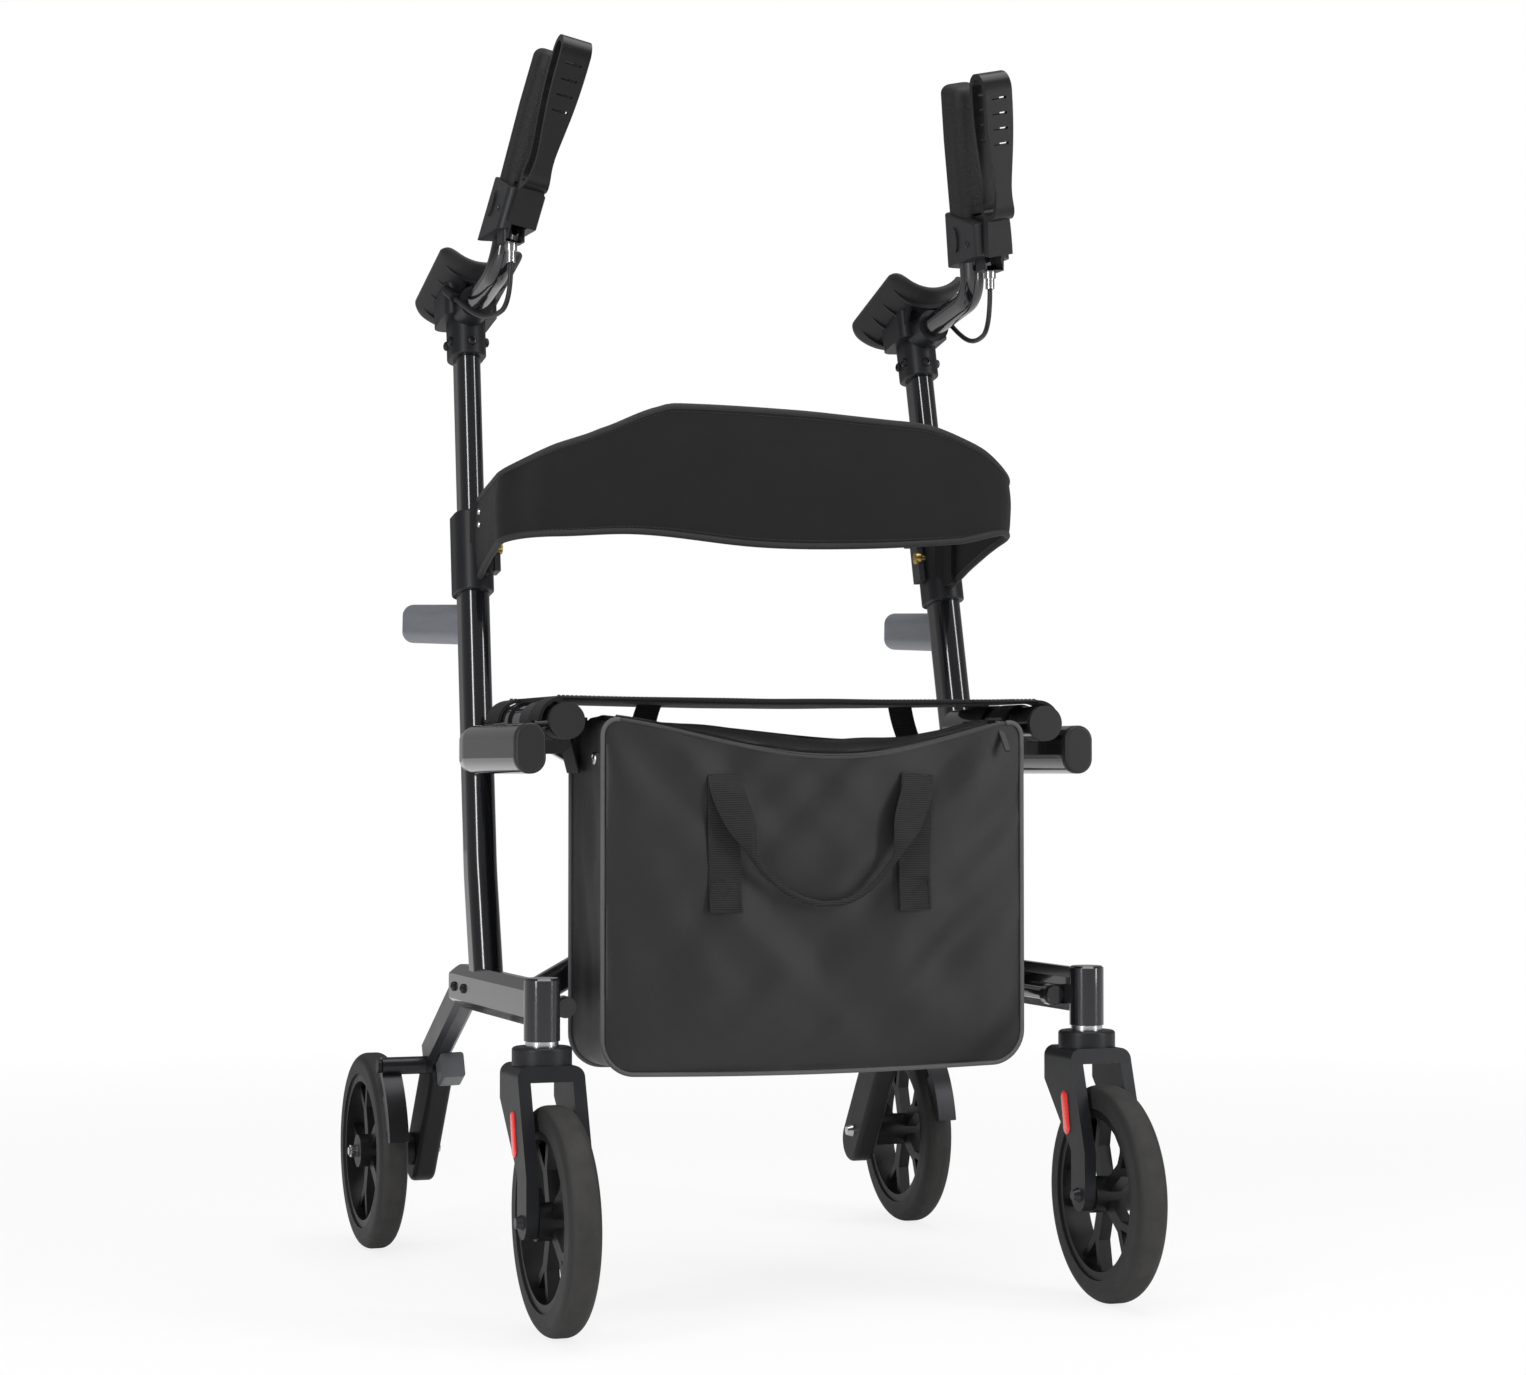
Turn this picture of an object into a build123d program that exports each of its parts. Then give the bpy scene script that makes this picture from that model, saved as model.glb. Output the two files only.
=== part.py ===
from build123d import *
import os
from math import atan2, cos, degrees, pi, radians, sin, tan

os.makedirs("parts", exist_ok=True)

# An upright walker with forearm rests: two side frames, an X of folding arms, a seat and a bag.
# +X is the user's left, the walker faces -Y, +Z is up, and the floor is at zero height.
# Each side piece is drawn for the left side, and the right one is its mirror image.

# Wheels
wheel_dia = 203
tyre_width = 30
rim_dia = 160
rim_wall = 8
rim_width = 26
hub_dia = 34
spoke_count = 5
spoke_thick = 12
axle_dia = 8
bolt_head_dia = 14
bolt_head_height = 6
wheelbase = 575.8
caster_trail = 45.3
caster_spacing = 538
rear_track = 602

# Casters and head tubes
fork_arm_thick = 11.5
fork_side_gap = 4.5
fork_top_gap = 19
fork_crown_height = 14
fork_crown_depth = 58
fork_foot_dia = 30
collar_dia = 54
collar_height = 15.5
washer_height = 5
washer_dia = 30
stem_dia = 14
head_dia = 32.6
head_height = 56
head_cap_height = 4
bearing_dia = 26
bearing_height = 9

# Frame tubes
tube_wall = 2
rail_height = 42
rail_width = 25
rail_facet = 9
rail_reach = 290
rail_rise = 32
upright_depth = 43
upright_width = 29
upright_top_rise = 488
upright_foot_y = 216
upright_bend_rise = 143
upright_bend_radius = 280
post_x = 254.2
post_y = 299
post_rise = 363
lean_in = 0.0245
lean_back = 0.209
seat_rail_height = 46.5
seat_rail_width = 29
seat_rail_x = 273
seat_rail_rise = 262
seat_rail_front = 31
seat_rail_elbow = 215
seat_rail_bend = 45
cap_thick = 8
peg_height = 40
peg_width = 24
peg_end_x = 271
peg_end_y = 494
peg_rise = 386
peg_end_rise = 395

# Height adjustment and backrest clamps
inner_depth = 38
inner_width = 24
inner_foot_rise = 270
inner_top_rise = 688
hole_dia = 7
hole_pitch = 25
hole_count = 6
hole_first_rise = 520
clamp_depth = 54
clamp_width = 38
clamp_low_rise = 416
clamp_top_rise = 496
latch_thick = 6
latch_width = 18
latch_length = 46
latch_pin_dia = 5
latch_drop = 12
latch_stand = 5
latch_ear = 3.5

# Rear legs, housings and brakes
leg_height = 34
leg_width = 22
leg_start_y = 268
leg_end_x = 251
leg_end_y = 475
leg_end_z = 203
block_size = (24, 30, 26)
block_y = 430
block_inset = 8
housing_x = 248
housing_thick = 24
housing_width = 46
housing_top_y = 470
housing_top_z = 190
housing_tail = 14
brake_pin_dia = 8
brake_pin_y = 452
brake_pin_z = 196
brake_arm_thick = 8
brake_arm_width = 20
brake_gap = 3.2
brake_pad_thick = 7
brake_end_angle = 10

# Folding arms, seat and bag
pivot_x = 242
pivot_rise = 28
pivot_rod_dia = 12
pivot_front = 22
pivot_rear = 250
lug_thick = 10
arm_height = 26
arm_thick = 20
arm_y = 138
arm_gap = 2.5
arm_sleeve = 62
cross_bolt_dia = 10
seat_tube_dia = 34
seat_tube_x = 238.6
seat_rise = 287
seat_tube_front = 28.8
seat_tube_rear = 235
collar_wall = 2.2
cradle_length = 20
cradle_places = (66, 212)
sling_thick = 3.5
sling_front = 40
sling_rear = 230
bag_width = 420
bag_depth = 106
bag_front = 14
bag_low_rise = -35
bag_high_rise = 291
bag_wall = 4
bag_round = 24
bag_loop = (80, 120)
sling_hems = ((40, 76), (183, 230))

# Backrest
strap_thick = 4
strap_front_y = 134
strap_side_x = 262
strap_end_x = 248
strap_end_y = 290
strap_corner = 42
strap_low_rise = 464
strap_mid_top_rise = 590
strap_corner_top_rise = 530
strap_end_top_rise = 512
strap_end_low_rise = 430
strap_top = ((-282, 520), (-262, 528), (-200, 549), (-145, 569), (-80, 590), (0, 591), (80, 590), (145, 569), (200, 549), (262, 528), (282, 520))

# Forearm rests and handles
sleeve_depth = 50
sleeve_width = 36
sleeve_low_rise = 656
sleeve_top_rise = 706
pad_x = 241
pad_y = 370
pad_rise = 716
pad_length = 140
pad_radius = 52
pad_thick = 12
pad_rim = 27
pad_tilt = 19
handle_dia = 24
handle_bend = 30
handle_root = (246, 372, 700)
handle_turn = (250, 224, 727)
grip_base = (248, 222, 758)
grip_lean = 0.215
grip_pitch = 0.34
grip_length = 185
grip_width = 36
grip_rear = 20
grip_front = -24
grip_toe = 3.5
base_width = 38
base_front = -54
base_rear = 22
base_height = 54
base_sink = 12
slot_width = 16.6
slot_back = -13
slot_floor = 4
lever_pin_dia = 6
lever_pin_y = -32
lever_pin_z = 30
lever_tang = 16
lever_band = 6
lever_back = -50
lever_front = -86
lever_low = 58
lever_height = 205
lever_plate = 11
lever_plate_back = -59
lever_plate_low = 22
lever_half_widths = ((10, 13), (40, 13), (62, 11.5), (86, 8.5), (105, 9.5), (140, 13), (175, 14.5), (215, 14))
lever_slots = (137, 152, 167, 182)
cover_size = (26, 15)
cover_thick = 2
socket_size = (22, 26, 12)
socket_place = (250, 181)
adjuster_dia = 12
adjuster_height = 18
cable_dia = 5
cable_exit = (268, 326, 713)
cable_drop = 40
cable_turns = ((49, 680), (101, 692))

# Clearances
running = 0.05
sliding = 0.1
soft_gap = 0.3
side_gap = 0.5

# Heights and lengths that follow from the ones above
wheel_r = wheel_dia / 2
crown_z = wheel_dia + fork_top_gap
head_z = crown_z + fork_crown_height + collar_height + washer_height
caster_x = caster_spacing / 2
caster_y = -wheelbase / 2 + caster_trail
rear_x = rear_track / 2
rear_y = wheelbase / 2
rail_z = head_z + rail_rise
seat_z = head_z + seat_rise


def spot(x, y, rise):
    """A point given by its distance behind the caster axis and its rise above the head tube's foot."""
    return Vector(x, caster_y + y, head_z + rise)


def export(piece, label):
    """Names a finished piece and writes it."""
    piece.label = label
    export_step(piece, "parts/" + label + ".step")


def export_pair(piece, label):
    """Writes a left piece and its mirror image."""
    export(piece, "left_" + label)
    export(mirror(piece, about=Plane.YZ), "right_" + label)


def across(x, y, z):
    """A sketch plane whose normal is +X, with its own x along +Y and its own y along +Z."""
    return Plane(origin=(x, y, z), x_dir=(0, 1, 0), z_dir=(1, 0, 0))


def facing(x, y, z):
    """A sketch plane whose normal is -Y, with its own x along +X and its own y along +Z."""
    return Plane(origin=(x, y, z), x_dir=(1, 0, 0), z_dir=(0, -1, 0))


post_dir = Vector(-lean_in, lean_back, 1).normalized()
post_x_dir = (Vector(1, 0, 0) - post_dir * post_dir.X).normalized()


def post_point(rise):
    """The point of the upright's axis at a rise above the head tube's foot."""
    return spot(post_x, post_y, post_rise) + Vector(-lean_in, lean_back, 1) * (rise - post_rise)


def post_plane(rise):
    """A sketch plane square to the upright, with its own y pointing to the rear."""
    return Plane(origin=post_point(rise), x_dir=post_x_dir, z_dir=post_dir)


def post_length(low, high):
    """The length along the upright between two rises."""
    return (high - low) * Vector(-lean_in, lean_back, 1).length


# Front casters: wheel, tyre, axle, fork and stem
front_y = -wheelbase / 2


def wheel_body(x, hub_inner, hub_outer):
    """A spoked plastic wheel in the plane at x, with its hub from hub_inner to hub_outer."""
    leg_out = wheel_r * 0.42
    rim_in = rim_dia / 2 - rim_wall
    fork_angle = 15
    with BuildPart() as wheel:
        with BuildSketch(Plane(origin=(x - rim_width / 2, 0, 0), x_dir=(0, 1, 0), z_dir=(1, 0, 0))):
            Circle(rim_dia / 2)
            Circle(rim_in, mode=Mode.SUBTRACT)
        extrude(amount=rim_width)
        with BuildSketch(Plane(origin=(hub_inner, 0, 0), x_dir=(0, 1, 0), z_dir=(1, 0, 0))):
            Circle(hub_dia / 2)
        extrude(amount=hub_outer - hub_inner)
        with BuildSketch(Plane(origin=(x - spoke_thick / 2, 0, 0), x_dir=(0, 1, 0), z_dir=(1, 0, 0))):
            with PolarLocations(0, spoke_count):
                with Locations((leg_out / 2 + 4, 0)):
                    Rectangle(leg_out, 13)
            for branch in (-1, 1):
                with PolarLocations(leg_out - 2, spoke_count):
                    with Locations(Location((0, 0, 0), (0, 0, branch * fork_angle * 2))):
                        Rectangle(rim_in - leg_out + 6, 7.5, align=(Align.MIN, Align.CENTER))
            Circle(rim_in + 1, mode=Mode.INTERSECT)
        extrude(amount=spoke_thick)
        with BuildSketch(Plane(origin=(hub_inner, 0, 0), x_dir=(0, 1, 0), z_dir=(1, 0, 0))):
            Circle(axle_dia / 2 + running)
        extrude(amount=hub_outer - hub_inner, mode=Mode.SUBTRACT)
    return wheel.part


def tyre_body(x):
    """A round-shouldered solid tyre on the rim."""
    with BuildPart() as tyre:
        with BuildSketch(Plane(origin=(x - tyre_width / 2, 0, 0), x_dir=(0, 1, 0), z_dir=(1, 0, 0))):
            Circle(wheel_r)
            Circle(rim_dia / 2, mode=Mode.SUBTRACT)
        extrude(amount=tyre_width)
        crown = tyre.edges().filter_by(GeomType.CIRCLE).sort_by(SortBy.RADIUS)[-2:]
        fillet(crown, radius=tyre_width * 0.36)
    return tyre.part


fork_inner = tyre_width / 2 + fork_side_gap
fork_outer = fork_inner + fork_arm_thick
front_hub = fork_inner - side_gap
front_centre = Pos(0, front_y, wheel_r)
front_wheel = front_centre * wheel_body(caster_x, caster_x - front_hub, caster_x + front_hub)
export_pair(front_wheel, "front_wheel")
export_pair(front_centre * tyre_body(caster_x), "front_tyre")

with BuildPart() as front_axle:
    with BuildSketch(across(caster_x - fork_outer, front_y, wheel_r)):
        Circle(axle_dia / 2)
    extrude(amount=2 * fork_outer)
    for side in (-1, 1):
        with BuildSketch(across(caster_x + side * fork_outer, front_y, wheel_r)):
            Circle(bolt_head_dia / 2)
        extrude(amount=side * bolt_head_height, taper=22)
export_pair(front_axle.part, "front_axle")

with BuildPart() as fork:
    with BuildSketch(across(caster_x - fork_outer, 0, 0)):
        with BuildLine():
            Polyline(
                (caster_y - fork_crown_depth / 2 - 4, crown_z),
                (caster_y - fork_crown_depth / 2, crown_z + fork_crown_height),
                (caster_y + fork_crown_depth / 2, crown_z + fork_crown_height),
                (caster_y + fork_crown_depth / 2, crown_z - 18),
                (front_y + fork_foot_dia / 2, wheel_r + 40),
                (front_y + fork_foot_dia / 2, wheel_r),
                (front_y - fork_foot_dia / 2, wheel_r),
                (front_y - fork_foot_dia / 2, wheel_r + 40),
                close=True,
            )
        make_face()
        with Locations((front_y, wheel_r)):
            Circle(fork_foot_dia / 2)
    extrude(amount=2 * fork_outer)
    with BuildSketch(across(caster_x - fork_inner, front_y, 0)):
        Rectangle(2 * wheel_dia, crown_z, align=(Align.CENTER, Align.MIN))
    extrude(amount=2 * fork_inner, mode=Mode.SUBTRACT)
    shoulder = fork.edges().filter_by(Axis.Y).group_by(Axis.Z)[-1]
    fillet(shoulder, radius=fork_crown_height * 0.7)
    with BuildSketch(Plane.XY.offset(crown_z + fork_crown_height - 1)):
        with Locations((caster_x, caster_y)):
            Circle(collar_dia / 2)
    extrude(amount=collar_height + 1)
    top_edge = fork.edges().filter_by(GeomType.CIRCLE).group_by(Axis.Z)[-1]
    fillet(top_edge, radius=3)
    with BuildSketch(Plane.XY.offset(crown_z)):
        with Locations((caster_x, caster_y)):
            Circle(stem_dia / 2)
    extrude(amount=fork_crown_height + collar_height, mode=Mode.SUBTRACT)
    with BuildSketch(across(caster_x - fork_outer, front_y, wheel_r)):
        Circle(axle_dia / 2)
    extrude(amount=2 * fork_outer, mode=Mode.SUBTRACT)
export_pair(fork.part, "caster_fork")

with BuildPart() as stem:
    with BuildSketch(Plane.XY.offset(crown_z)):
        with Locations((caster_x, caster_y)):
            Circle(stem_dia / 2)
    extrude(amount=head_z + head_height - head_cap_height - 2 - crown_z)
    with BuildSketch(Plane.XY.offset(head_z - washer_height)):
        with Locations((caster_x, caster_y)):
            Circle(washer_dia / 2)
    extrude(amount=washer_height - side_gap)
export_pair(stem.part, "caster_stem")

# Lower rails, each with its head tube, bearings and the rod that the folding arms turn on
rail_section_x = caster_x
pivot_z = head_z + pivot_rise
with BuildPart() as rail_core:
    with BuildSketch(facing(rail_section_x, caster_y + rail_reach, rail_z)):
        Rectangle(rail_width, rail_height)
        chamfer(vertices(), length=rail_facet)
    extrude(amount=rail_reach)
    nose = rail_core.edges().filter_by(Axis.X).group_by(Axis.Y)[-1]
    fillet(nose, radius=14)

with BuildPart() as rail:
    add(rail_core.part)
    with BuildSketch(Plane.XY.offset(head_z)):
        with Locations((caster_x, caster_y)):
            Circle(head_dia / 2)
    extrude(amount=head_height)
    with BuildSketch(facing(rail_section_x, caster_y + rail_reach - 30, rail_z)):
        Rectangle(rail_width - 2 * tube_wall, rail_height - 2 * tube_wall)
        chamfer(vertices(), length=rail_facet - 1)
    extrude(amount=rail_reach - 30 - head_dia, mode=Mode.SUBTRACT)
    with BuildSketch(Plane.XY.offset(head_z)):
        with Locations((caster_x, caster_y)):
            Circle(bearing_dia / 2)
    extrude(amount=head_height - head_cap_height, mode=Mode.SUBTRACT)
    top_edge = rail.edges().filter_by(GeomType.CIRCLE).group_by(Axis.Z)[-1]
    chamfer(top_edge, length=2)
    for y in (pivot_front, pivot_rear):
        with BuildSketch(facing(0, caster_y + y + lug_thick / 2, pivot_z)):
            with Locations((pivot_x, 0)):
                Circle(pivot_rod_dia / 2 + 4)
            with Locations(((pivot_x + caster_x - rail_width / 2) / 2 + 1, 0)):
                Rectangle(caster_x - rail_width / 2 - pivot_x + 2, 18)
        extrude(amount=lug_thick)
    with BuildSketch(facing(pivot_x, caster_y + pivot_rear + lug_thick / 2, pivot_z)):
        Circle(pivot_rod_dia / 2)
    extrude(amount=pivot_rear - pivot_front + lug_thick, mode=Mode.SUBTRACT)

with BuildPart() as bearings:
    for low in (0, head_height - head_cap_height - bearing_height):
        with BuildSketch(Plane.XY.offset(head_z + low)):
            with Locations((caster_x, caster_y)):
                Circle(bearing_dia / 2)
                Circle(stem_dia / 2 + running, mode=Mode.SUBTRACT)
        extrude(amount=bearing_height)

with BuildPart() as pivot_rod:
    with BuildSketch(facing(pivot_x, caster_y + pivot_rear + lug_thick / 2, pivot_z)):
        Circle(pivot_rod_dia / 2)
    extrude(amount=pivot_rear - pivot_front + lug_thick)
    for y, way in ((pivot_front - lug_thick / 2, 1), (pivot_rear + lug_thick / 2, -1)):
        with BuildSketch(facing(pivot_x, caster_y + y, pivot_z)):
            Circle(pivot_rod_dia / 2 + 2.5)
        extrude(amount=way * 5)
lower_rail = Compound(children=rail.solids() + bearings.solids() + pivot_rod.solids())
export_pair(lower_rail, "lower_rail")

# Uprights: the bent lower tubes
foot = Vector(post_point(rail_rise).X, caster_y + upright_foot_y, rail_z)
bend = post_point(upright_bend_rise)
crest = post_point(upright_top_rise)


def bent_post(depth, width):
    """An oval bar along the upright's axis, bent at its foot."""
    with BuildPart() as bar:
        with BuildLine():
            route = FilletPolyline(foot, bend, crest, radius=upright_bend_radius)
        start = Plane(origin=foot, x_dir=(1, 0, 0), z_dir=(bend - foot).normalized())
        with BuildSketch(start):
            SlotOverall(depth, width, rotation=90)
        sweep(path=route)
    return bar.part


post_core = bent_post(upright_depth, upright_width)
with BuildPart() as upright:
    add(post_core)
    add(bent_post(upright_depth - 2 * tube_wall, upright_width - 2 * tube_wall), mode=Mode.SUBTRACT)
    add(rail_core.part, mode=Mode.SUBTRACT)
    with BuildSketch(Plane.XY.offset(rail_z)):
        with Locations((caster_x, foot.Y)):
            Rectangle(120, 120)
    extrude(amount=-rail_height, mode=Mode.SUBTRACT)
upright_solid = upright.solids().sort_by(Axis.Z)[-1]
export_pair(Part(upright_solid.wrapped), "upright")

# Seat rails, each with its end cap and the two cradles that the seat tube drops into
seat_rail_z = head_z + seat_rail_rise
rail_root = post_point(seat_rail_rise) + Vector(4, -4, 0)
with BuildPart() as seat_rail:
    with BuildLine():
        elbow = FilletPolyline(
            rail_root,
            Vector(seat_rail_x, caster_y + seat_rail_elbow, seat_rail_z),
            Vector(seat_rail_x, caster_y + seat_rail_front, seat_rail_z),
            radius=seat_rail_bend,
        )
    elbow_dir = Vector(seat_rail_x, caster_y + seat_rail_elbow, seat_rail_z) - rail_root
    with BuildSketch(Plane(origin=rail_root, x_dir=(0, 0, 1), z_dir=elbow_dir.normalized())):
        SlotOverall(seat_rail_height, seat_rail_width)
    sweep(path=elbow)
    add(post_core, mode=Mode.SUBTRACT)
seat_rail_solid = seat_rail.solids().sort_by(Axis.Y)[0]

with BuildPart() as rail_cap:
    with BuildSketch(facing(seat_rail_x, caster_y + seat_rail_front, seat_rail_z)):
        SlotOverall(seat_rail_height, seat_rail_width, rotation=90)
    extrude(amount=cap_thick)
    cap_edge = rail_cap.edges().group_by(Axis.Y)[0]
    fillet(cap_edge, radius=3)

with BuildPart() as cradles:
    for y in cradle_places:
        with BuildSketch(facing(0, caster_y + y + cradle_length / 2, 0)):
            with BuildLine():
                Polyline(
                    (seat_tube_x - 12, seat_z - 9),
                    (seat_tube_x - 12, seat_z - 24),
                    (seat_tube_x - 4, seat_z - 30),
                    (seat_rail_x - seat_rail_width / 2 + 2, seat_z - 30),
                    (seat_rail_x - seat_rail_width / 2 + 2, seat_z - 9),
                    close=True,
                )
            make_face()
            with Locations((seat_tube_x, seat_z)):
                Circle(seat_tube_dia / 2 + soft_gap, mode=Mode.SUBTRACT)
        extrude(amount=cradle_length)
    add(seat_rail_solid, mode=Mode.SUBTRACT)
seat_rail_parts = [seat_rail_solid] + rail_cap.solids() + cradles.solids()
export_pair(Compound(children=seat_rail_parts), "seat_rail")

# Grab pegs behind the uprights
peg_root = post_point(peg_rise)
peg_end = spot(peg_end_x, peg_end_y, peg_end_rise)
peg_dir = (peg_end - peg_root).normalized()
with BuildPart() as peg:
    with BuildSketch(Plane(origin=peg_root, x_dir=(0, 0, 1), z_dir=peg_dir)):
        SlotOverall(peg_height, peg_width)
    extrude(amount=(peg_end - peg_root).length)
    peg_tip = peg.faces().sort_by(Axis.Y)[-1].edges()
    fillet(peg_tip, radius=8)
    add(post_core, mode=Mode.SUBTRACT)
export_pair(Part(peg.solids().sort_by(Axis.Y)[-1].wrapped), "grab_peg")

# Rear legs, each with its clamp block, and the plastic wheel housings
leg_root = Vector(caster_x, caster_y + leg_start_y, rail_z)
leg_tip = Vector(leg_end_x, caster_y + leg_end_y, leg_end_z)
leg_dir = (leg_tip - leg_root).normalized()
leg_plane = Plane(origin=leg_root, x_dir=(Vector(1, 0, 0) - leg_dir * leg_dir.X).normalized(), z_dir=leg_dir)
with BuildPart() as leg_core:
    with BuildSketch(leg_plane):
        Rectangle(leg_width, leg_height)
        chamfer(vertices(), length=5)
    extrude(amount=(leg_tip - leg_root).length)
with BuildPart() as leg:
    add(leg_core.part)
    add(rail_core.part, mode=Mode.SUBTRACT)
leg_solid = leg.solids().sort_by(Axis.Y)[-1]
block_share = (block_y - leg_start_y) / (leg_end_y - leg_start_y)
block_plane = Plane(
    origin=leg_root + (leg_tip - leg_root) * block_share, x_dir=leg_plane.x_dir, z_dir=leg_dir
)
with BuildPart() as block:
    with BuildSketch(block_plane):
        with Locations((-block_inset, leg_height / 2)):
            Rectangle(block_size[0], block_size[2], align=(Align.CENTER, Align.MIN))
    extrude(amount=block_size[1] / 2, both=True)
    long_edges = block.edges().filter_by(lambda e: abs(e.tangent_at(0).dot(leg_dir)) > 0.99)
    fillet(long_edges, radius=3)
export_pair(Compound(children=[leg_solid] + block.solids()), "rear_leg")

housing_top = (caster_y + housing_top_y, housing_top_z)
housing_run = Vector(rear_y - housing_top[0], wheel_r - housing_top[1], 0)
housing_end = Vector(rear_y, wheel_r, 0) + housing_run.normalized() * housing_tail
with BuildPart() as housing:
    with BuildSketch(across(housing_x - housing_thick / 2, 0, 0)):
        housing_middle = ((housing_top[0] + housing_end.X) / 2, (housing_top[1] + housing_end.Y) / 2)
        SlotCenterPoint(housing_middle, housing_top, housing_width)
    extrude(amount=housing_thick)
    rims = housing.faces().filter_by(Axis.X).edges()
    fillet(rims, radius=5)
    with BuildSketch(across(housing_x + housing_thick / 2 - 1, caster_y + brake_pin_y, brake_pin_z)):
        Circle(brake_pin_dia / 2 + 5)
    extrude(amount=6)
    add(leg_core.part, mode=Mode.SUBTRACT)
    add(block.part, mode=Mode.SUBTRACT)
    with BuildSketch(across(housing_x - housing_thick, rear_y, wheel_r)):
        Circle(axle_dia / 2)
    extrude(amount=2 * housing_thick, mode=Mode.SUBTRACT)
housing_face = housing_x + housing_thick / 2
brake_hub_in = housing_face + 5 + side_gap
brake_outer = rear_x + brake_arm_width / 2
with BuildPart() as brake_pin:
    with BuildSketch(across(housing_face + 5, caster_y + brake_pin_y, brake_pin_z)):
        Circle(brake_pin_dia / 2)
    extrude(amount=brake_outer + side_gap - housing_face - 5)
    with BuildSketch(across(brake_outer + side_gap, caster_y + brake_pin_y, brake_pin_z)):
        Circle(bolt_head_dia / 2)
    extrude(amount=4)
export_pair(Compound(children=housing.solids() + brake_pin.solids()), "wheel_housing")

# Rear wheels and axles
rear_hub_in = housing_face + side_gap
rear_hub_out = rear_x + 17
rear_centre = Pos(0, rear_y, wheel_r)
export_pair(rear_centre * wheel_body(rear_x, rear_hub_in, rear_hub_out), "rear_wheel")
export_pair(rear_centre * tyre_body(rear_x), "rear_tyre")

with BuildPart() as rear_axle:
    housing_back = housing_x - housing_thick / 2
    with BuildSketch(across(housing_back, rear_y, wheel_r)):
        Circle(axle_dia / 2)
    extrude(amount=rear_hub_out + side_gap + 9 - housing_back)
    with BuildSketch(across(housing_back, rear_y, wheel_r)):
        Circle(bolt_head_dia / 2)
    extrude(amount=-bolt_head_height, taper=22)
    with BuildSketch(across(rear_hub_out + side_gap, rear_y, wheel_r)):
        RegularPolygon(bolt_head_dia / 2, 6)
    extrude(amount=7)
export_pair(rear_axle.part, "rear_axle")

# Brake arms in front of the rear tyres
pad_in = wheel_r + brake_gap
band_in = pad_in + brake_pad_thick
pin_angle = degrees(atan2(brake_pin_z - wheel_r, rear_y - caster_y - brake_pin_y))
with BuildPart() as brake_arm:
    with BuildSketch(across(rear_x - brake_arm_width / 2, rear_y, wheel_r)):
        with BuildLine():
            Polyline((0, 0), Vector(-2 * wheel_r, 0).rotate(Axis.Z, -brake_end_angle),
                     Vector(-2 * wheel_r, 0).rotate(Axis.Z, -pin_angle), close=True)
        make_face()
        Circle(band_in + brake_arm_thick, mode=Mode.INTERSECT)
        Circle(band_in, mode=Mode.SUBTRACT)
    extrude(amount=brake_arm_width)
    with BuildSketch(across(rear_x - brake_arm_width / 2, rear_y, wheel_r)):
        with BuildLine():
            Polyline((0, 0), Vector(-2 * wheel_r, 0).rotate(Axis.Z, -brake_end_angle - 6),
                     Vector(-2 * wheel_r, 0).rotate(Axis.Z, -pin_angle + 14), close=True)
        make_face()
        Circle(band_in + 1, mode=Mode.INTERSECT)
        Circle(pad_in, mode=Mode.SUBTRACT)
    extrude(amount=brake_arm_width)
    with BuildSketch(across(brake_hub_in, caster_y + brake_pin_y, brake_pin_z)):
        Circle(brake_pin_dia / 2 + 5)
    extrude(amount=brake_outer - brake_hub_in)
    with BuildSketch(across(brake_hub_in, caster_y + brake_pin_y, brake_pin_z)):
        Circle(brake_pin_dia / 2 + running)
    extrude(amount=brake_outer - brake_hub_in, mode=Mode.SUBTRACT)
export_pair(brake_arm.part, "brake_arm")

# Telescoping upper tubes with their height holes
with BuildPart() as upper_tube:
    with BuildSketch(post_plane(inner_foot_rise)):
        SlotOverall(inner_depth, inner_width, rotation=90)
        SlotOverall(inner_depth - 2 * tube_wall, inner_width - 2 * tube_wall, rotation=90,
                    mode=Mode.SUBTRACT)
    extrude(amount=post_length(inner_foot_rise, inner_top_rise))
    for step in range(hole_count):
        centre = post_point(hole_first_rise + step * hole_pitch)
        with BuildSketch(Plane(origin=centre, x_dir=(1, 0, 0), z_dir=(0, 1, 0))):
            Circle(hole_dia / 2)
        extrude(amount=inner_depth, mode=Mode.SUBTRACT)
export_pair(upper_tube.part, "upper_tube")

# Plastic clamps on top of the uprights, which guide the upper tubes and hold the backrest
ear_plane = post_plane(clamp_top_rise - latch_drop)
latch_x = -clamp_width / 2 - latch_stand
with BuildPart() as clamp:
    with BuildSketch(post_plane(clamp_low_rise)):
        SlotOverall(clamp_depth, clamp_width, rotation=90)
    extrude(amount=post_length(clamp_low_rise, clamp_top_rise))
    clamp_ends = clamp.faces().sort_by(Axis.Z)
    fillet(clamp_ends[0].edges() + clamp_ends[-1].edges(), radius=2)
    clamp_outer = clamp.part
    with BuildSketch(ear_plane):
        for way in (-1, 1):
            with Locations((latch_x, way * (latch_width / 2 + side_gap + latch_ear / 2))):
                Rectangle(2 * latch_stand + latch_thick, latch_ear)
    extrude(amount=6, both=True)
    with BuildSketch(post_plane(clamp_low_rise)):
        SlotOverall(upright_depth + 2 * running, upright_width + 2 * running, rotation=90)
    extrude(amount=post_length(clamp_low_rise, upright_top_rise), mode=Mode.SUBTRACT)
    with BuildSketch(post_plane(clamp_low_rise)):
        SlotOverall(inner_depth + 2 * sliding, inner_width + 2 * sliding, rotation=90)
    extrude(amount=post_length(clamp_low_rise, clamp_top_rise) + 1, mode=Mode.SUBTRACT)
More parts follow.
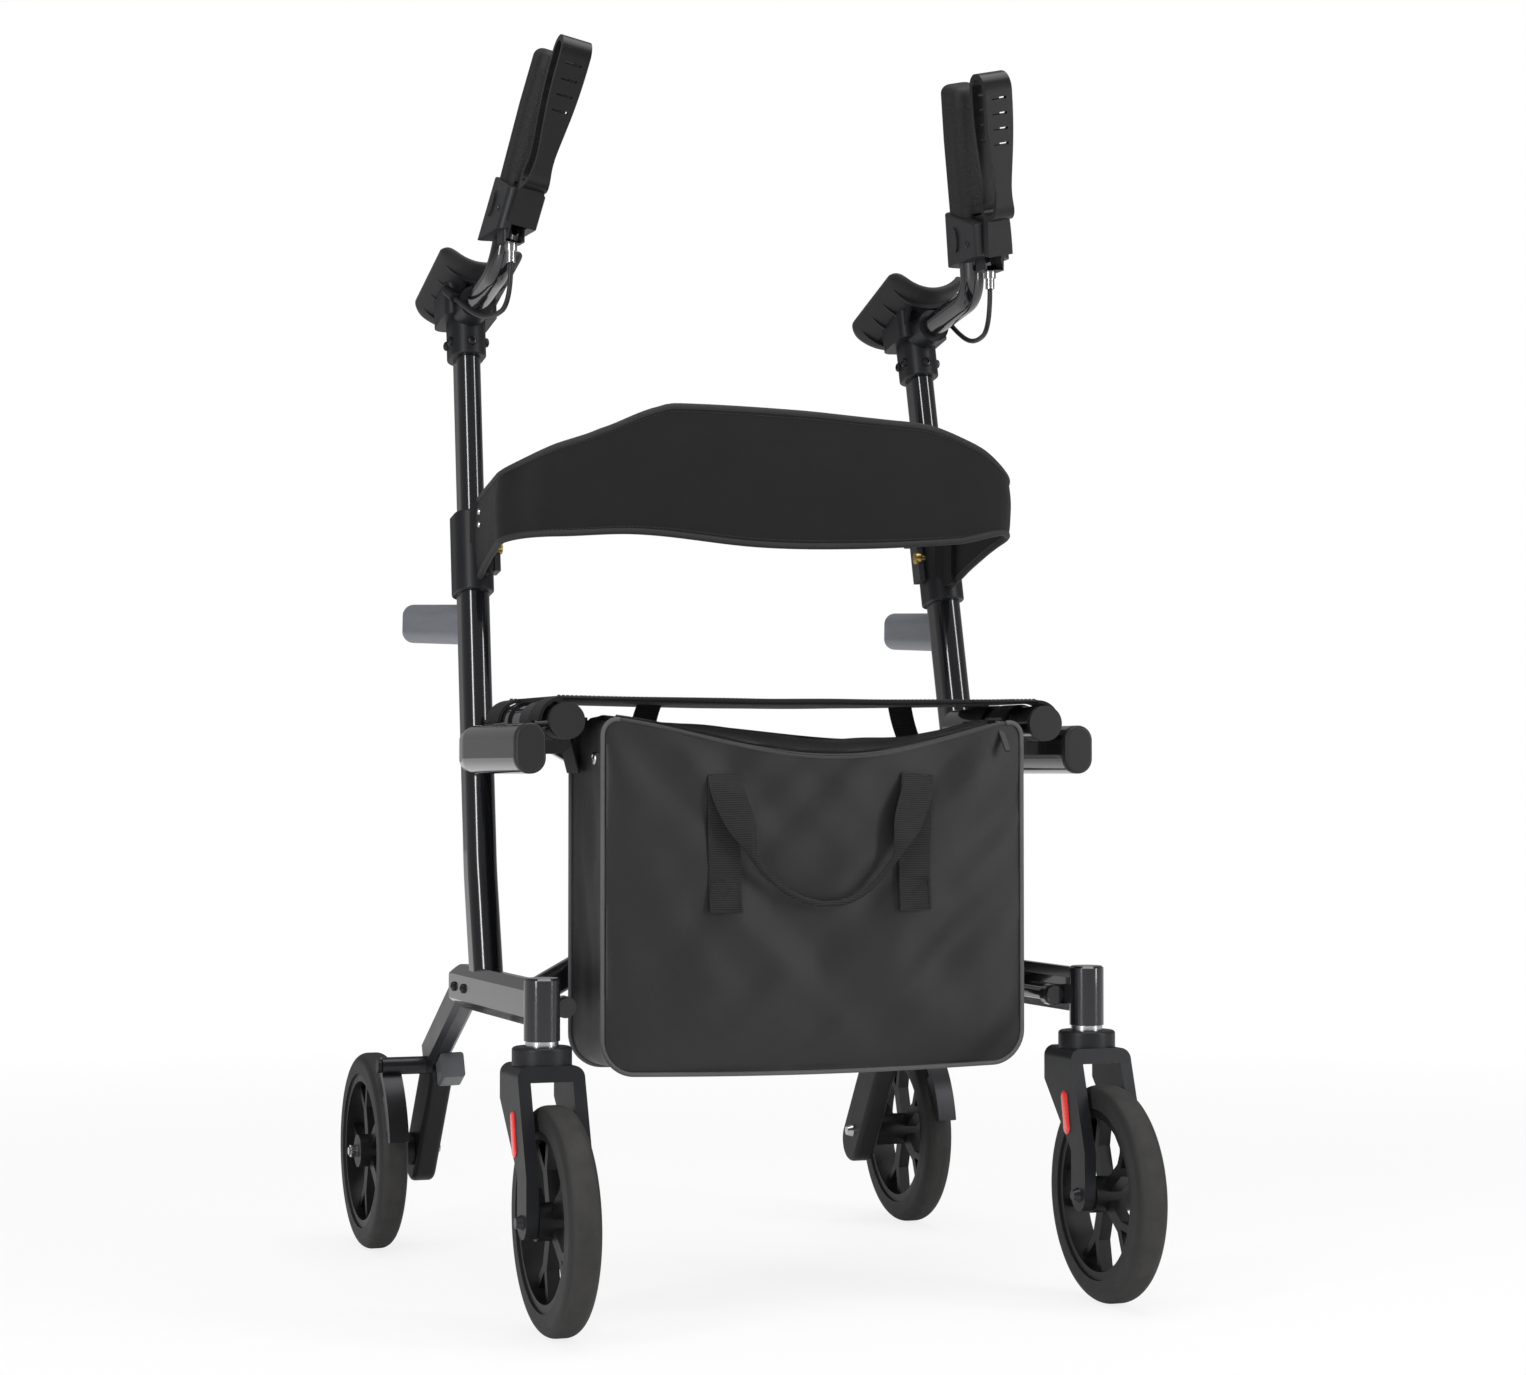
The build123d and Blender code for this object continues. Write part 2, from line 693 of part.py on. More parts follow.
pin_reach = latch_width / 2 + side_gap + latch_ear
with BuildPart() as latch_pin:
    with BuildSketch(Plane(origin=ear_plane.from_local_coords((latch_x, -pin_reach, 0)),
                           x_dir=ear_plane.x_dir, z_dir=ear_plane.y_dir)):
        Circle(latch_pin_dia / 2)
    extrude(amount=2 * pin_reach)
with BuildPart() as clamp_drilled:
    add(clamp.part)
    add(latch_pin.part, mode=Mode.SUBTRACT)
export_pair(Compound(children=clamp_drilled.solids() + latch_pin.solids()), "backrest_clamp")

with BuildPart() as latch:
    with BuildSketch(Plane(origin=ear_plane.from_local_coords((latch_x, -latch_width / 2, 0)),
                           x_dir=ear_plane.x_dir, z_dir=ear_plane.y_dir)):
        Circle(latch_thick / 2 + 1)
        Rectangle(latch_thick, latch_length, align=(Align.CENTER, Align.MIN))
        Circle(latch_pin_dia / 2 + running, mode=Mode.SUBTRACT)
    extrude(amount=latch_width)
export_pair(latch.part, "height_latch")

# Forearm rests: brackets on the upper tubes and curved pads
tilt = radians(pad_tilt)
pad_base = spot(pad_x, pad_y, pad_rise)
pad_along = Vector(0, -cos(tilt), sin(tilt))


def pad_plane(back):
    """A sketch plane across the forearm rest, at a distance back from its middle."""
    return Plane(origin=pad_base - pad_along * back, x_dir=(1, 0, 0), z_dir=pad_along)


with BuildPart() as arm_pad:
    with BuildSketch(pad_plane(pad_length / 2)):
        with Locations((0, pad_radius)):
            Circle(pad_radius)
            Circle(pad_radius - pad_thick, mode=Mode.SUBTRACT)
        Rectangle(2 * pad_radius, pad_rim, align=(Align.CENTER, Align.MIN), mode=Mode.INTERSECT)
    extrude(amount=pad_length)
export_pair(arm_pad.part, "arm_pad")

root = spot(*handle_root)
turn = spot(*handle_turn)
grip_dir = Vector(-grip_lean, -grip_pitch, 1).normalized()
grip_side = (Vector(1, 0, 0) - grip_dir * grip_dir.X).normalized()
grip_x_dir = grip_side.rotate(Axis((0, 0, 0), grip_dir), grip_toe)
grip_origin = spot(*grip_base)
handle_top = grip_origin + grip_dir * (base_height - 6)


def grip_plane(up):
    """A sketch plane across the grip, at a distance up from its foot, with its own y to the rear."""
    return Plane(origin=grip_origin + grip_dir * up, x_dir=grip_x_dir, z_dir=grip_dir)


def handle_bar(radius):
    """The bent bar from the forearm rest to the grip."""
    with BuildPart() as bar:
        with BuildLine():
            route = FilletPolyline(root, turn, handle_top, radius=handle_bend)
        with BuildSketch(Plane(origin=root, z_dir=(turn - root).normalized())):
            Circle(radius)
        sweep(path=route)
    return bar.part


cable_start = Vector(
    socket_place[0], caster_y + socket_place[1], grip_origin.Z - socket_size[2] - adjuster_height
)
cable_end = spot(*cable_exit)
cable_points = [cable_start, cable_start - Vector(0, 0, cable_drop)]
for back, rise in cable_turns:
    share = back / (cable_end.Y - cable_start.Y)
    cable_points.append(
        Vector(cable_start.X + (cable_end.X - cable_start.X) * share, cable_start.Y + back, head_z + rise)
    )
cable_points.append(cable_end)
handle_core = handle_bar(handle_dia / 2)
with BuildPart() as handle_tube:
    add(handle_core)
    add(handle_bar(handle_dia / 2 - tube_wall), mode=Mode.SUBTRACT)
export_pair(handle_tube.part, "handle_tube")

with BuildPart() as bracket:
    with BuildSketch(post_plane(sleeve_low_rise)):
        SlotOverall(sleeve_depth, sleeve_width, rotation=90)
    extrude(amount=post_length(sleeve_low_rise, sleeve_top_rise))
    low_edges = bracket.faces().sort_by(Axis.Z)[0].edges()
    fillet(low_edges, radius=2)
    with BuildSketch(post_plane(sleeve_top_rise - 12)):
        Rectangle(sleeve_width + 18, sleeve_depth + 10)
        fillet(vertices(), radius=10)
    extrude(amount=34)
    with BuildSketch(Plane(origin=root, z_dir=(turn - root).normalized())):
        Circle(handle_dia / 2 + 5)
    extrude(amount=52)
    for side in (-1, 1):
        with BuildSketch(across(pad_base.X + side * 16 - 2, pad_base.Y, pad_base.Z)):
            with BuildLine():
                Polyline((-52, 30), (-20, -14), (24, -14), (56, -12), (56, 30), close=True)
            make_face()
        extrude(amount=4)
    with BuildSketch(Plane(origin=cable_end, z_dir=(cable_end - cable_points[-2]).normalized())):
        Circle(cable_dia / 2 + 2.5)
    extrude(amount=26)
    with BuildSketch(pad_plane(pad_length)):
        with Locations((0, pad_radius)):
            Circle(pad_radius)
    extrude(amount=2 * pad_length, mode=Mode.SUBTRACT)
    with BuildSketch(pad_plane(pad_length)):
        with Locations((0, pad_rim)):
            Rectangle(6 * pad_radius, pad_length, align=(Align.CENTER, Align.MIN))
    extrude(amount=2 * pad_length, mode=Mode.SUBTRACT)
    add(handle_core, mode=Mode.SUBTRACT)
    with BuildSketch(post_plane(sleeve_low_rise - 1)):
        SlotOverall(inner_depth, inner_width, rotation=90)
    extrude(amount=post_length(sleeve_low_rise - 1, inner_top_rise), mode=Mode.SUBTRACT)
export_pair(Part(bracket.solids().sort_by(SortBy.VOLUME)[-1].wrapped), "armrest_bracket")

# Grips with their pivot housings
with BuildPart() as grip:
    with BuildSketch(grip_plane(-base_sink)):
        with Locations((0, (base_front + base_rear) / 2)):
            RectangleRounded(base_width, base_rear - base_front, 7)
    extrude(amount=base_sink + base_height)
    top_rim = grip.faces().sort_by(Axis.Z)[-1].edges()
    fillet(top_rim, radius=2)
    with BuildSketch(Plane.XY.offset(grip_origin.Z)):
        with Locations((grip_origin.X, grip_origin.Y)):
            Rectangle(4 * base_width, 4 * base_width)
    extrude(amount=-base_width, mode=Mode.SUBTRACT)
    with BuildSketch(Plane.XY.offset(grip_origin.Z - socket_size[2])):
        with Locations((socket_place[0], caster_y + socket_place[1])):
            RectangleRounded(socket_size[0], socket_size[1], 4)
    extrude(amount=socket_size[2] + 3)
    with BuildSketch(grip_plane(base_height - 3)):
        with Locations((0, (grip_front + grip_rear) / 2)):
            RectangleRounded(grip_width - 4, grip_rear - grip_front, 12)
    with BuildSketch(grip_plane(grip_length * 0.7)):
        with Locations((0, (grip_front + grip_rear) / 2)):
            RectangleRounded(grip_width, grip_rear - grip_front, 12)
    with BuildSketch(grip_plane(grip_length)):
        with Locations((0, (grip_front + grip_rear) / 2)):
            RectangleRounded(grip_width, grip_rear - grip_front, 12)
    loft(ruled=True)
    tip = grip.faces().sort_by(Axis.Z)[-1].edges()
    fillet(tip, radius=9)
    with BuildSketch(grip_plane(slot_floor)):
        with Locations((0, slot_back)):
            Rectangle(slot_width, 2 * base_width, align=(Align.CENTER, Align.MAX))
    extrude(amount=base_height, mode=Mode.SUBTRACT)
    add(handle_core, mode=Mode.SUBTRACT)
    pin_side = Plane(
        origin=grip_plane(lever_pin_z).from_local_coords((-base_width / 2, lever_pin_y, 0)),
        x_dir=grip_plane(0).y_dir,
        z_dir=grip_x_dir,
    )
    with BuildSketch(pin_side):
        Circle(lever_pin_dia / 2)
    extrude(amount=base_width, mode=Mode.SUBTRACT)
    cover_side = Plane(
        origin=grip_plane(lever_pin_z).from_local_coords((0, -4, 0)),
        x_dir=grip_dir,
        z_dir=grip_x_dir,
    )
    for way in (-1, 1):
        with BuildSketch(cover_side.offset(way * base_width / 2)):
            Ellipse(cover_size[0] / 2, cover_size[1] / 2)
        extrude(amount=way * cover_thick)
export_pair(Part(grip.solids().sort_by(SortBy.VOLUME)[-1].wrapped), "grip")

with BuildPart() as lever_pin:
    with BuildSketch(pin_side):
        Circle(lever_pin_dia / 2)
    extrude(amount=base_width)
export_pair(lever_pin.part, "lever_pin")

# Brake levers: closed loops in front of the grips
lever_side = Plane(origin=grip_origin, x_dir=grip_plane(0).y_dir, z_dir=grip_x_dir)
lever_front_plane = Plane(origin=grip_origin, x_dir=grip_x_dir, z_dir=-grip_plane(0).y_dir)
loop_width = lever_back - lever_front
loop_height = lever_height - lever_low
loop_centre = ((lever_back + lever_front) / 2, (lever_height + lever_low) / 2)
lever_width = 2 * max(half for z, half in lever_half_widths)
with BuildPart() as brake_lever:
    with BuildSketch(lever_side):
        with Locations(loop_centre):
            RectangleRounded(loop_width, loop_height, loop_width / 2 - 1.5)
            RectangleRounded(loop_width - 2 * lever_band, loop_height - 2 * lever_band,
                             loop_width / 2 - lever_band - 1.5, mode=Mode.SUBTRACT)
        with Locations((lever_plate_back, lever_plate_low)):
            Rectangle(lever_plate, lever_low + 5 - lever_plate_low, align=(Align.MAX, Align.MIN))
    extrude(amount=lever_width / 2, both=True)
    with BuildSketch(lever_front_plane):
        with BuildLine():
            right_side = Spline([(half, z) for z, half in lever_half_widths])
            left_side = Spline([(-half, z) for z, half in lever_half_widths])
            Line(right_side @ 0, left_side @ 0)
            Line(right_side @ 1, left_side @ 1)
        make_face()
    extrude(amount=-2 * lever_front, both=True, mode=Mode.INTERSECT)
    for z in lever_slots:
        with BuildSketch(lever_front_plane):
            with Locations((0, z)):
                SlotOverall(16, 2.4)
        extrude(amount=-2 * lever_front, mode=Mode.SUBTRACT)
    with BuildSketch(lever_side):
        with Locations((lever_pin_y, lever_pin_z)):
            Circle(9)
        with BuildLine():
            Polyline(
                (lever_pin_y + 9, lever_pin_z),
                (lever_pin_y + 4, lever_low - 2),
                (lever_back - 6, lever_low + 6),
                (lever_plate_back, lever_low + 6),
                (lever_plate_back - 1, lever_pin_z),
                (lever_pin_y, lever_pin_z - 9),
                close=True,
            )
        make_face()
        with Locations(loop_centre):
            RectangleRounded(loop_width - 2 * lever_band, loop_height - 2 * lever_band,
                             loop_width / 2 - lever_band - 1.5, mode=Mode.SUBTRACT)
    extrude(amount=lever_tang / 2, both=True)
    with BuildSketch(lever_side):
        with Locations((lever_pin_y, lever_pin_z)):
            Circle(lever_pin_dia / 2 + running)
    extrude(amount=lever_width, both=True, mode=Mode.SUBTRACT)
export_pair(brake_lever.part, "brake_lever")

# Cable adjusters and the brake cables that hang below the grips
adjuster_top = Vector(socket_place[0], caster_y + socket_place[1], grip_origin.Z - socket_size[2])
with BuildPart() as adjuster:
    with BuildSketch(Plane(adjuster_top)):
        Circle(adjuster_dia / 2)
    extrude(amount=-adjuster_height * 0.4)
    with BuildSketch(Plane(adjuster_top)):
        Circle(adjuster_dia / 2 - 1.5)
    extrude(amount=-adjuster_height)
export_pair(adjuster.part, "cable_adjuster")

def bend_radii(points):
    """The radius of each bend: as large as the shorter of its two runs allows."""
    radii = []
    for before, here, after in zip(points, points[1:], points[2:]):
        turn_angle = radians((here - before).get_angle(after - here))
        shorter = min((here - before).length, (after - here).length)
        radii.append(0.45 * shorter / tan(turn_angle / 2))
    return radii


def cord_body(points, radius):
    """A round cord along a line of points, each corner rounded with its own radius."""
    radii = bend_radii(points)
    with BuildPart() as cord:
        with BuildLine():
            route = FilletPolyline(*points, radius=radii)
        with BuildSketch(Plane(origin=points[0], z_dir=(points[1] - points[0]).normalized())):
            Circle(radius)
        sweep(path=route)
    section = pi * radius**2 * route.length
    print("cord radii", [round(r, 1) for r in radii], "length", round(route.length, 1),
          "volume ratio", round(cord.part.volume / section, 3))
    return cord.part


export_pair(cord_body(cable_points, cable_dia / 2), "brake_cable")

# Seat tubes with their end caps
with BuildPart() as seat_tube:
    with BuildSketch(facing(seat_tube_x, caster_y + seat_tube_rear, seat_z)):
        Circle(seat_tube_dia / 2)
        Circle(seat_tube_dia / 2 - tube_wall, mode=Mode.SUBTRACT)
    extrude(amount=seat_tube_rear - seat_tube_front)
with BuildPart() as seat_caps:
    for y, way in ((seat_tube_front, 1), (seat_tube_rear, -1)):
        with BuildSketch(facing(seat_tube_x, caster_y + y, seat_z)):
            Circle(seat_tube_dia / 2)
        extrude(amount=way * 4)
        with BuildSketch(facing(seat_tube_x, caster_y + y, seat_z)):
            Circle(seat_tube_dia / 2 - tube_wall)
        extrude(amount=-way * 10)
export_pair(Compound(children=seat_tube.solids() + seat_caps.solids()), "seat_tube")

# The X of folding arms and the bolt at its middle
low_pivot = Vector(-pivot_x, 0, pivot_z)
high_pivot = Vector(seat_tube_x, 0, seat_z)
arm_dir = (high_pivot - low_pivot).normalized()
cross_z = pivot_z + (seat_z - pivot_z) * pivot_x / (pivot_x + seat_tube_x)


def arm_body(front, bolt_radius):
    """A folding arm from the right frame up to the left seat tube, with its front face at a given depth."""
    middle = caster_y + front + arm_thick / 2
    with BuildPart() as arm:
        with BuildSketch(Plane(origin=low_pivot + Vector(0, middle, 0), x_dir=(0, 1, 0), z_dir=arm_dir)):
            RectangleRounded(arm_thick, arm_height, 7)
        extrude(amount=(high_pivot - low_pivot).length)
        for start, end in ((0.08, 0.46), (0.54, 0.92)):
            origin = low_pivot + (high_pivot - low_pivot) * start + Vector(0, middle, 0)
            with BuildSketch(Plane(origin=origin, x_dir=(0, 1, 0), z_dir=arm_dir)):
                RectangleRounded(arm_thick - 2 * tube_wall, arm_height - 2 * tube_wall, 5)
            extrude(amount=(high_pivot - low_pivot).length * (end - start), mode=Mode.SUBTRACT)
        with BuildSketch(facing(low_pivot.X, middle + arm_sleeve / 2, pivot_z)):
            Circle(pivot_rod_dia / 2 + 6)
        extrude(amount=arm_sleeve)
        with BuildSketch(facing(high_pivot.X, middle + arm_thick / 2, seat_z)):
            Circle(seat_tube_dia / 2 + running + collar_wall)
        extrude(amount=arm_thick)
        with BuildSketch(facing(low_pivot.X, middle + arm_sleeve / 2, pivot_z)):
            Circle(pivot_rod_dia / 2 + running)
        extrude(amount=arm_sleeve, mode=Mode.SUBTRACT)
        with BuildSketch(facing(high_pivot.X, middle + arm_thick / 2, seat_z)):
            Circle(seat_tube_dia / 2 + running)
        extrude(amount=arm_thick, mode=Mode.SUBTRACT)
        with BuildSketch(facing(0, middle + arm_thick, cross_z)):
            Circle(bolt_radius)
        extrude(amount=2 * arm_thick, mode=Mode.SUBTRACT)
    return arm.part


arm_b_front = arm_y + arm_thick + arm_gap
export(arm_body(arm_y, cross_bolt_dia / 2), "cross_arm_a")
export(mirror(arm_body(arm_b_front, cross_bolt_dia / 2 + running), about=Plane.YZ), "cross_arm_b")

with BuildPart() as cross_bolt:
    bolt_rear = caster_y + arm_b_front + arm_thick + side_gap
    with BuildSketch(facing(0, bolt_rear, cross_z)):
        Circle(cross_bolt_dia / 2)
    extrude(amount=arm_b_front + arm_thick + side_gap - arm_y)
    with BuildSketch(facing(0, caster_y + arm_y, cross_z)):
        Circle(10)
    extrude(amount=5, taper=20)
    with BuildSketch(facing(0, bolt_rear + 8, cross_z)):
        RegularPolygon(9, 6)
    extrude(amount=8)
    with BuildSketch(facing(0, caster_y + arm_y + arm_thick + arm_gap - side_gap / 2, cross_z)):
        Circle(11)
    extrude(amount=arm_gap - side_gap / 2)
export(cross_bolt.part, "cross_bolt")

# Seat: a sling over the two seat tubes
sling_low = seat_z + seat_tube_dia / 2 + collar_wall + running + soft_gap
with BuildPart() as sling:
    with BuildSketch(Plane.XY.offset(sling_low)):
        with Locations((0, caster_y + (sling_front + sling_rear) / 2)):
            Rectangle(2 * seat_tube_x, sling_rear - sling_front)
    extrude(amount=sling_thick)
    for low, high in sling_hems:
        for side in (-1, 1):
            with BuildSketch(facing(0, caster_y + high, 0)):
                with Locations((side * seat_tube_x, seat_z)):
                    Circle(sling_low + sling_thick - seat_z)
                with Locations((side * seat_tube_x, seat_z + 2)):
                    Rectangle(2 * seat_tube_dia, seat_tube_dia, align=(Align.CENTER, Align.MIN),
                              mode=Mode.INTERSECT)
            extrude(amount=high - low)
    for side in (-1, 1):
        with BuildSketch(facing(0, caster_y + sling_rear, 0)):
            with Locations((side * seat_tube_x, seat_z)):
                Circle(seat_tube_dia / 2 + soft_gap)
        extrude(amount=sling_rear - sling_front, mode=Mode.SUBTRACT)
export(sling.part, "seat_sling")

# Bag, open inside, hung from the seat tubes by two webbing loops
bag_low = head_z + bag_low_rise
bag_high = head_z + bag_high_rise
bag_middle = (bag_low + bag_high) / 2
bag_height = bag_high - bag_low
with BuildPart() as bag_hollow:
    with BuildSketch(facing(0, caster_y + bag_front + bag_depth - bag_wall, bag_middle)):
        RectangleRounded(bag_width - 2 * bag_wall, bag_height - 2 * bag_wall, bag_round - bag_wall)
    extrude(amount=bag_depth - 2 * bag_wall)
    hollow_edges = bag_hollow.faces().filter_by(Axis.Y).edges()
    fillet(hollow_edges, radius=14 - bag_wall)
    with BuildSketch(Plane.XY.offset(bag_middle)):
        with Locations((0, caster_y + bag_front + bag_depth / 2)):
            RectangleRounded(bag_width - 2 * bag_wall, bag_depth - 2 * bag_wall, 14 - bag_wall)
    extrude(amount=bag_height)
with BuildPart() as bag:
    with BuildSketch(facing(0, caster_y + bag_front + bag_depth, bag_middle)):
        RectangleRounded(bag_width, bag_height, bag_round)
    extrude(amount=bag_depth)
    bag_edges = bag.faces().filter_by(Axis.Y).edges()
    fillet(bag_edges, radius=14)
    add(bag_hollow.part, mode=Mode.SUBTRACT)
    for side in (-1, 1):
        with BuildSketch(facing(0, caster_y + bag_loop[1], 0)):
            with Locations((side * (bag_width / 2 - 3), bag_high - 26)):
                Rectangle(2 * (seat_tube_x - bag_width / 2), 14, align=(Align.CENTER, Align.MIN))
            with Locations((side * seat_tube_x, seat_z)):
                Circle(seat_tube_dia / 2 + soft_gap + 2)
                Circle(seat_tube_dia / 2 + soft_gap, mode=Mode.SUBTRACT)
        extrude(amount=bag_loop[1] - bag_loop[0])
        with BuildSketch(facing(0, caster_y + bag_loop[1], 0)):
            with Locations((side * seat_tube_x, seat_z)):
                Circle(seat_tube_dia / 2 + soft_gap)
        extrude(amount=bag_loop[1] - bag_loop[0], mode=Mode.SUBTRACT)
export(bag.part, "bag")

# Backrest: a curved band between the two clamps
def band_point(x, y):
    """A point of the backrest's plan."""
    return (x, caster_y + y)


with BuildPart() as backrest:
    with BuildSketch(Plane.XY.offset(head_z + strap_end_low_rise)):
        with BuildLine():
            plan = FilletPolyline(
                band_point(-strap_end_x, strap_end_y),
                band_point(-strap_side_x, strap_front_y),
                band_point(strap_side_x, strap_front_y),
                band_point(strap_end_x, strap_end_y),
                radius=strap_corner,
            )
            offset(amount=strap_thick, side=Side.LEFT)
        make_face()
    extrude(amount=strap_mid_top_rise - strap_end_low_rise)
    with BuildSketch(facing(0, caster_y + strap_end_y + 20, head_z)):
        with BuildLine():
            crown = Spline([(x, rise) for x, rise in strap_top])
            Line(crown @ 1, (strap_side_x + 20, strap_end_low_rise))
            Line((strap_side_x + 20, strap_end_low_rise), (-strap_side_x - 20, strap_end_low_rise))
            Line((-strap_side_x - 20, strap_end_low_rise), crown @ 0)
        make_face()
    extrude(amount=2 * strap_end_y, mode=Mode.INTERSECT)
    with BuildSketch(across(-strap_side_x - 20, 0, head_z)):
        with BuildLine():
            Polyline(
                (caster_y + strap_front_y - 20, strap_low_rise),
                (caster_y + strap_front_y - 20, strap_mid_top_rise),
                (caster_y + strap_front_y + strap_corner, strap_corner_top_rise + 14),
                (caster_y + strap_end_y + 10, strap_end_top_rise),
                (caster_y + strap_end_y + 10, strap_end_low_rise),
                (caster_y + strap_front_y + 2 * strap_corner, strap_low_rise),
                close=True,
            )
        make_face()
    extrude(amount=2 * strap_side_x + 40, mode=Mode.INTERSECT)
    for side in (-1, 1):
        with BuildSketch(facing(0, caster_y + strap_end_y + 16, head_z)):
            with Locations((side * strap_end_x, (strap_end_low_rise + 496) / 2)):
                Rectangle(26, 40)
        extrude(amount=20)
    add(clamp_outer, mode=Mode.SUBTRACT)
    add(mirror(clamp_outer, about=Plane.YZ), mode=Mode.SUBTRACT)
export(Part(backrest.solids().sort_by(SortBy.VOLUME)[-1].wrapped), "backrest")
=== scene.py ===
from math import acos, cos, pi, radians, sin, sqrt, tau

import bmesh
import bpy
from mathutils import Matrix, Vector, noise


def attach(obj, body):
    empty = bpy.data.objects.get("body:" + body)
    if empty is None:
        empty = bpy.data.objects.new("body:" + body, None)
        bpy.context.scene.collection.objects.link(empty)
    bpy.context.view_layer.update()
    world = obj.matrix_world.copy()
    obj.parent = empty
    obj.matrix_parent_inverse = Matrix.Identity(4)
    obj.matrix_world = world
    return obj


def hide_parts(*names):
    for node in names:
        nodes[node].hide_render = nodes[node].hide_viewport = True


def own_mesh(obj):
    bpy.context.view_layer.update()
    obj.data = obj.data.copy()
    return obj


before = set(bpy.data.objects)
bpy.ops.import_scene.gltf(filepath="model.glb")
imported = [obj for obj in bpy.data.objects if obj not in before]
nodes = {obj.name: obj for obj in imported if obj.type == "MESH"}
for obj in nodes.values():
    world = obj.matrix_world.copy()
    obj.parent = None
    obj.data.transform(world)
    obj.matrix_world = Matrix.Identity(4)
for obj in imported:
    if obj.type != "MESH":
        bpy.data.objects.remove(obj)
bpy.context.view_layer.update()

# Frame tubes: oval and faceted aluminium tubing, welded at the rails and bent at the foot.
# They are powder coated in gloss black under a clear coat, so long highlights run down them.
sides = {"left": 1, "right": -1}


def join(tree, value, slot):
    """Links another node's socket to a slot, or sets the slot to a plain value."""
    if isinstance(value, Level):
        value = value.socket
    if isinstance(value, bpy.types.NodeSocket):
        tree.links.new(value, slot)
    else:
        slot.default_value = value


def add_node(tree, kind, settings, inputs):
    """A node with its settings, and with each named input linked or set."""
    node = tree.nodes.new(kind)
    for key, value in (settings or {}).items():
        setattr(node, key, value)
    for label, value in inputs.items():
        join(tree, value, node.inputs[label.replace("_", " ")])
    return node


class Level:
    """A number that varies over a surface; a sum on it adds Math nodes."""

    def __init__(self, tree, socket):
        self.tree = tree
        self.socket = socket

    def reckon(self, operation, *values):
        node = self.tree.nodes.new("ShaderNodeMath")
        node.operation = operation
        for slot, value in zip(node.inputs, values):
            join(self.tree, value, slot)
        return Level(self.tree, node.outputs[0])

    def __add__(self, other):
        return self.reckon("ADD", self, other)

    def __sub__(self, other):
        return self.reckon("SUBTRACT", self, other)

    def __rsub__(self, other):
        return self.reckon("SUBTRACT", other, self)

    def __mul__(self, other):
        return self.reckon("MULTIPLY", self, other)

    __radd__ = __add__
    __rmul__ = __mul__

    def __pow__(self, other):
        return self.reckon("POWER", self, other)

    def below(self, edge):
        """1 where the number is under an edge, else 0."""
        return self.reckon("LESS_THAN", self, edge)

    def above(self, edge, soft=0.0):
        """1 where the number is over an edge, 0 under it, with a soft step between."""
        if not soft:
            return self.reckon("GREATER_THAN", self, edge)
        rise = (self - edge) * (1 / soft) + 0.5
        return self.reckon("MAXIMUM", self.reckon("MINIMUM", rise, 1.0), 0.0)

    def wave(self):
        return self.reckon("SINE", self)


class Finish:
    """A surface finish: one shader, and the nodes that vary it in Object coordinates."""

    def __init__(self, name, **constants):
        self.material = bpy.data.materials.new(name)
        self.material.use_nodes = True
        self.tree = self.material.node_tree
        self.shader = self.tree.nodes["Principled BSDF"]
        for label, value in constants.items():
            self.shader.inputs[label.replace("_", " ")].default_value = value
        self.place = self.node("TexCoord").outputs["Object"]
        self.relief = None

    def node(self, kind, settings=None, **inputs):
        return add_node(self.tree, "ShaderNode" + kind, settings, inputs)

    def join(self, value, slot):
        join(self.tree, value, slot)

    def axes(self):
        parts = self.node("SeparateXYZ", Vector=self.place)
        return [Level(self.tree, parts.outputs[k]) for k in range(3)]

    def grain(self, scale, detail=2.0, stretch=(1, 1, 1)):
        """Noise from 0 to 1, with its own stretch along each axis."""
        placed = self.node("Mapping", Vector=self.place, Scale=stretch)
        noisy = self.node("TexNoise", Vector=placed.outputs[0], Scale=scale, Detail=detail)
        return Level(self.tree, noisy.outputs[0])

    def cells(self, scale):
        """Rounded bumps from 0 to 1."""
        return Level(self.tree, self.node("TexVoronoi", Vector=self.place, Scale=scale).outputs[0])

    def along(self, direction, origin):
        """The distance from an origin along a direction."""
        shifted = self.node("VectorMath", {"operation": "SUBTRACT"})
        self.join(self.place, shifted.inputs[0])
        shifted.inputs[1].default_value = origin
        dotted = self.node("VectorMath", {"operation": "DOT_PRODUCT"})
        self.join(shifted.outputs[0], dotted.inputs[0])
        dotted.inputs[1].default_value = direction
        return Level(self.tree, dotted.outputs["Value"])

    def blend(self, factor, low, high):
        """A colour between two others."""
        node = self.node("Mix", {"data_type": "RGBA"})
        self.join(factor, node.inputs[0])
        for slot, value in ((node.inputs[6], low), (node.inputs[7], high)):
            self.join(value if isinstance(value, bpy.types.NodeSocket) else (*value, 1.0), slot)
        return node.outputs[2]

    def vary(self, label, value):
        self.join(value, self.shader.inputs[label])

    def raise_by(self, height, depth, strength=1.0):
        """A bump of a real depth in metres."""
        bump = self.node("Bump", Height=height, Distance=depth, Strength=strength)
        if self.relief:
            self.join(self.relief, bump.inputs["Normal"])
        self.relief = bump.outputs[0]
        self.join(self.relief, self.shader.inputs["Normal"])

    def on(self, *labels):
        """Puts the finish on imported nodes; a bare name stands for the left and the right one."""
        for label in labels:
            for name in (label, "left_" + label, "right_" + label):
                if name in nodes:
                    for slot in nodes[name].material_slots:
                        slot.material = self.material


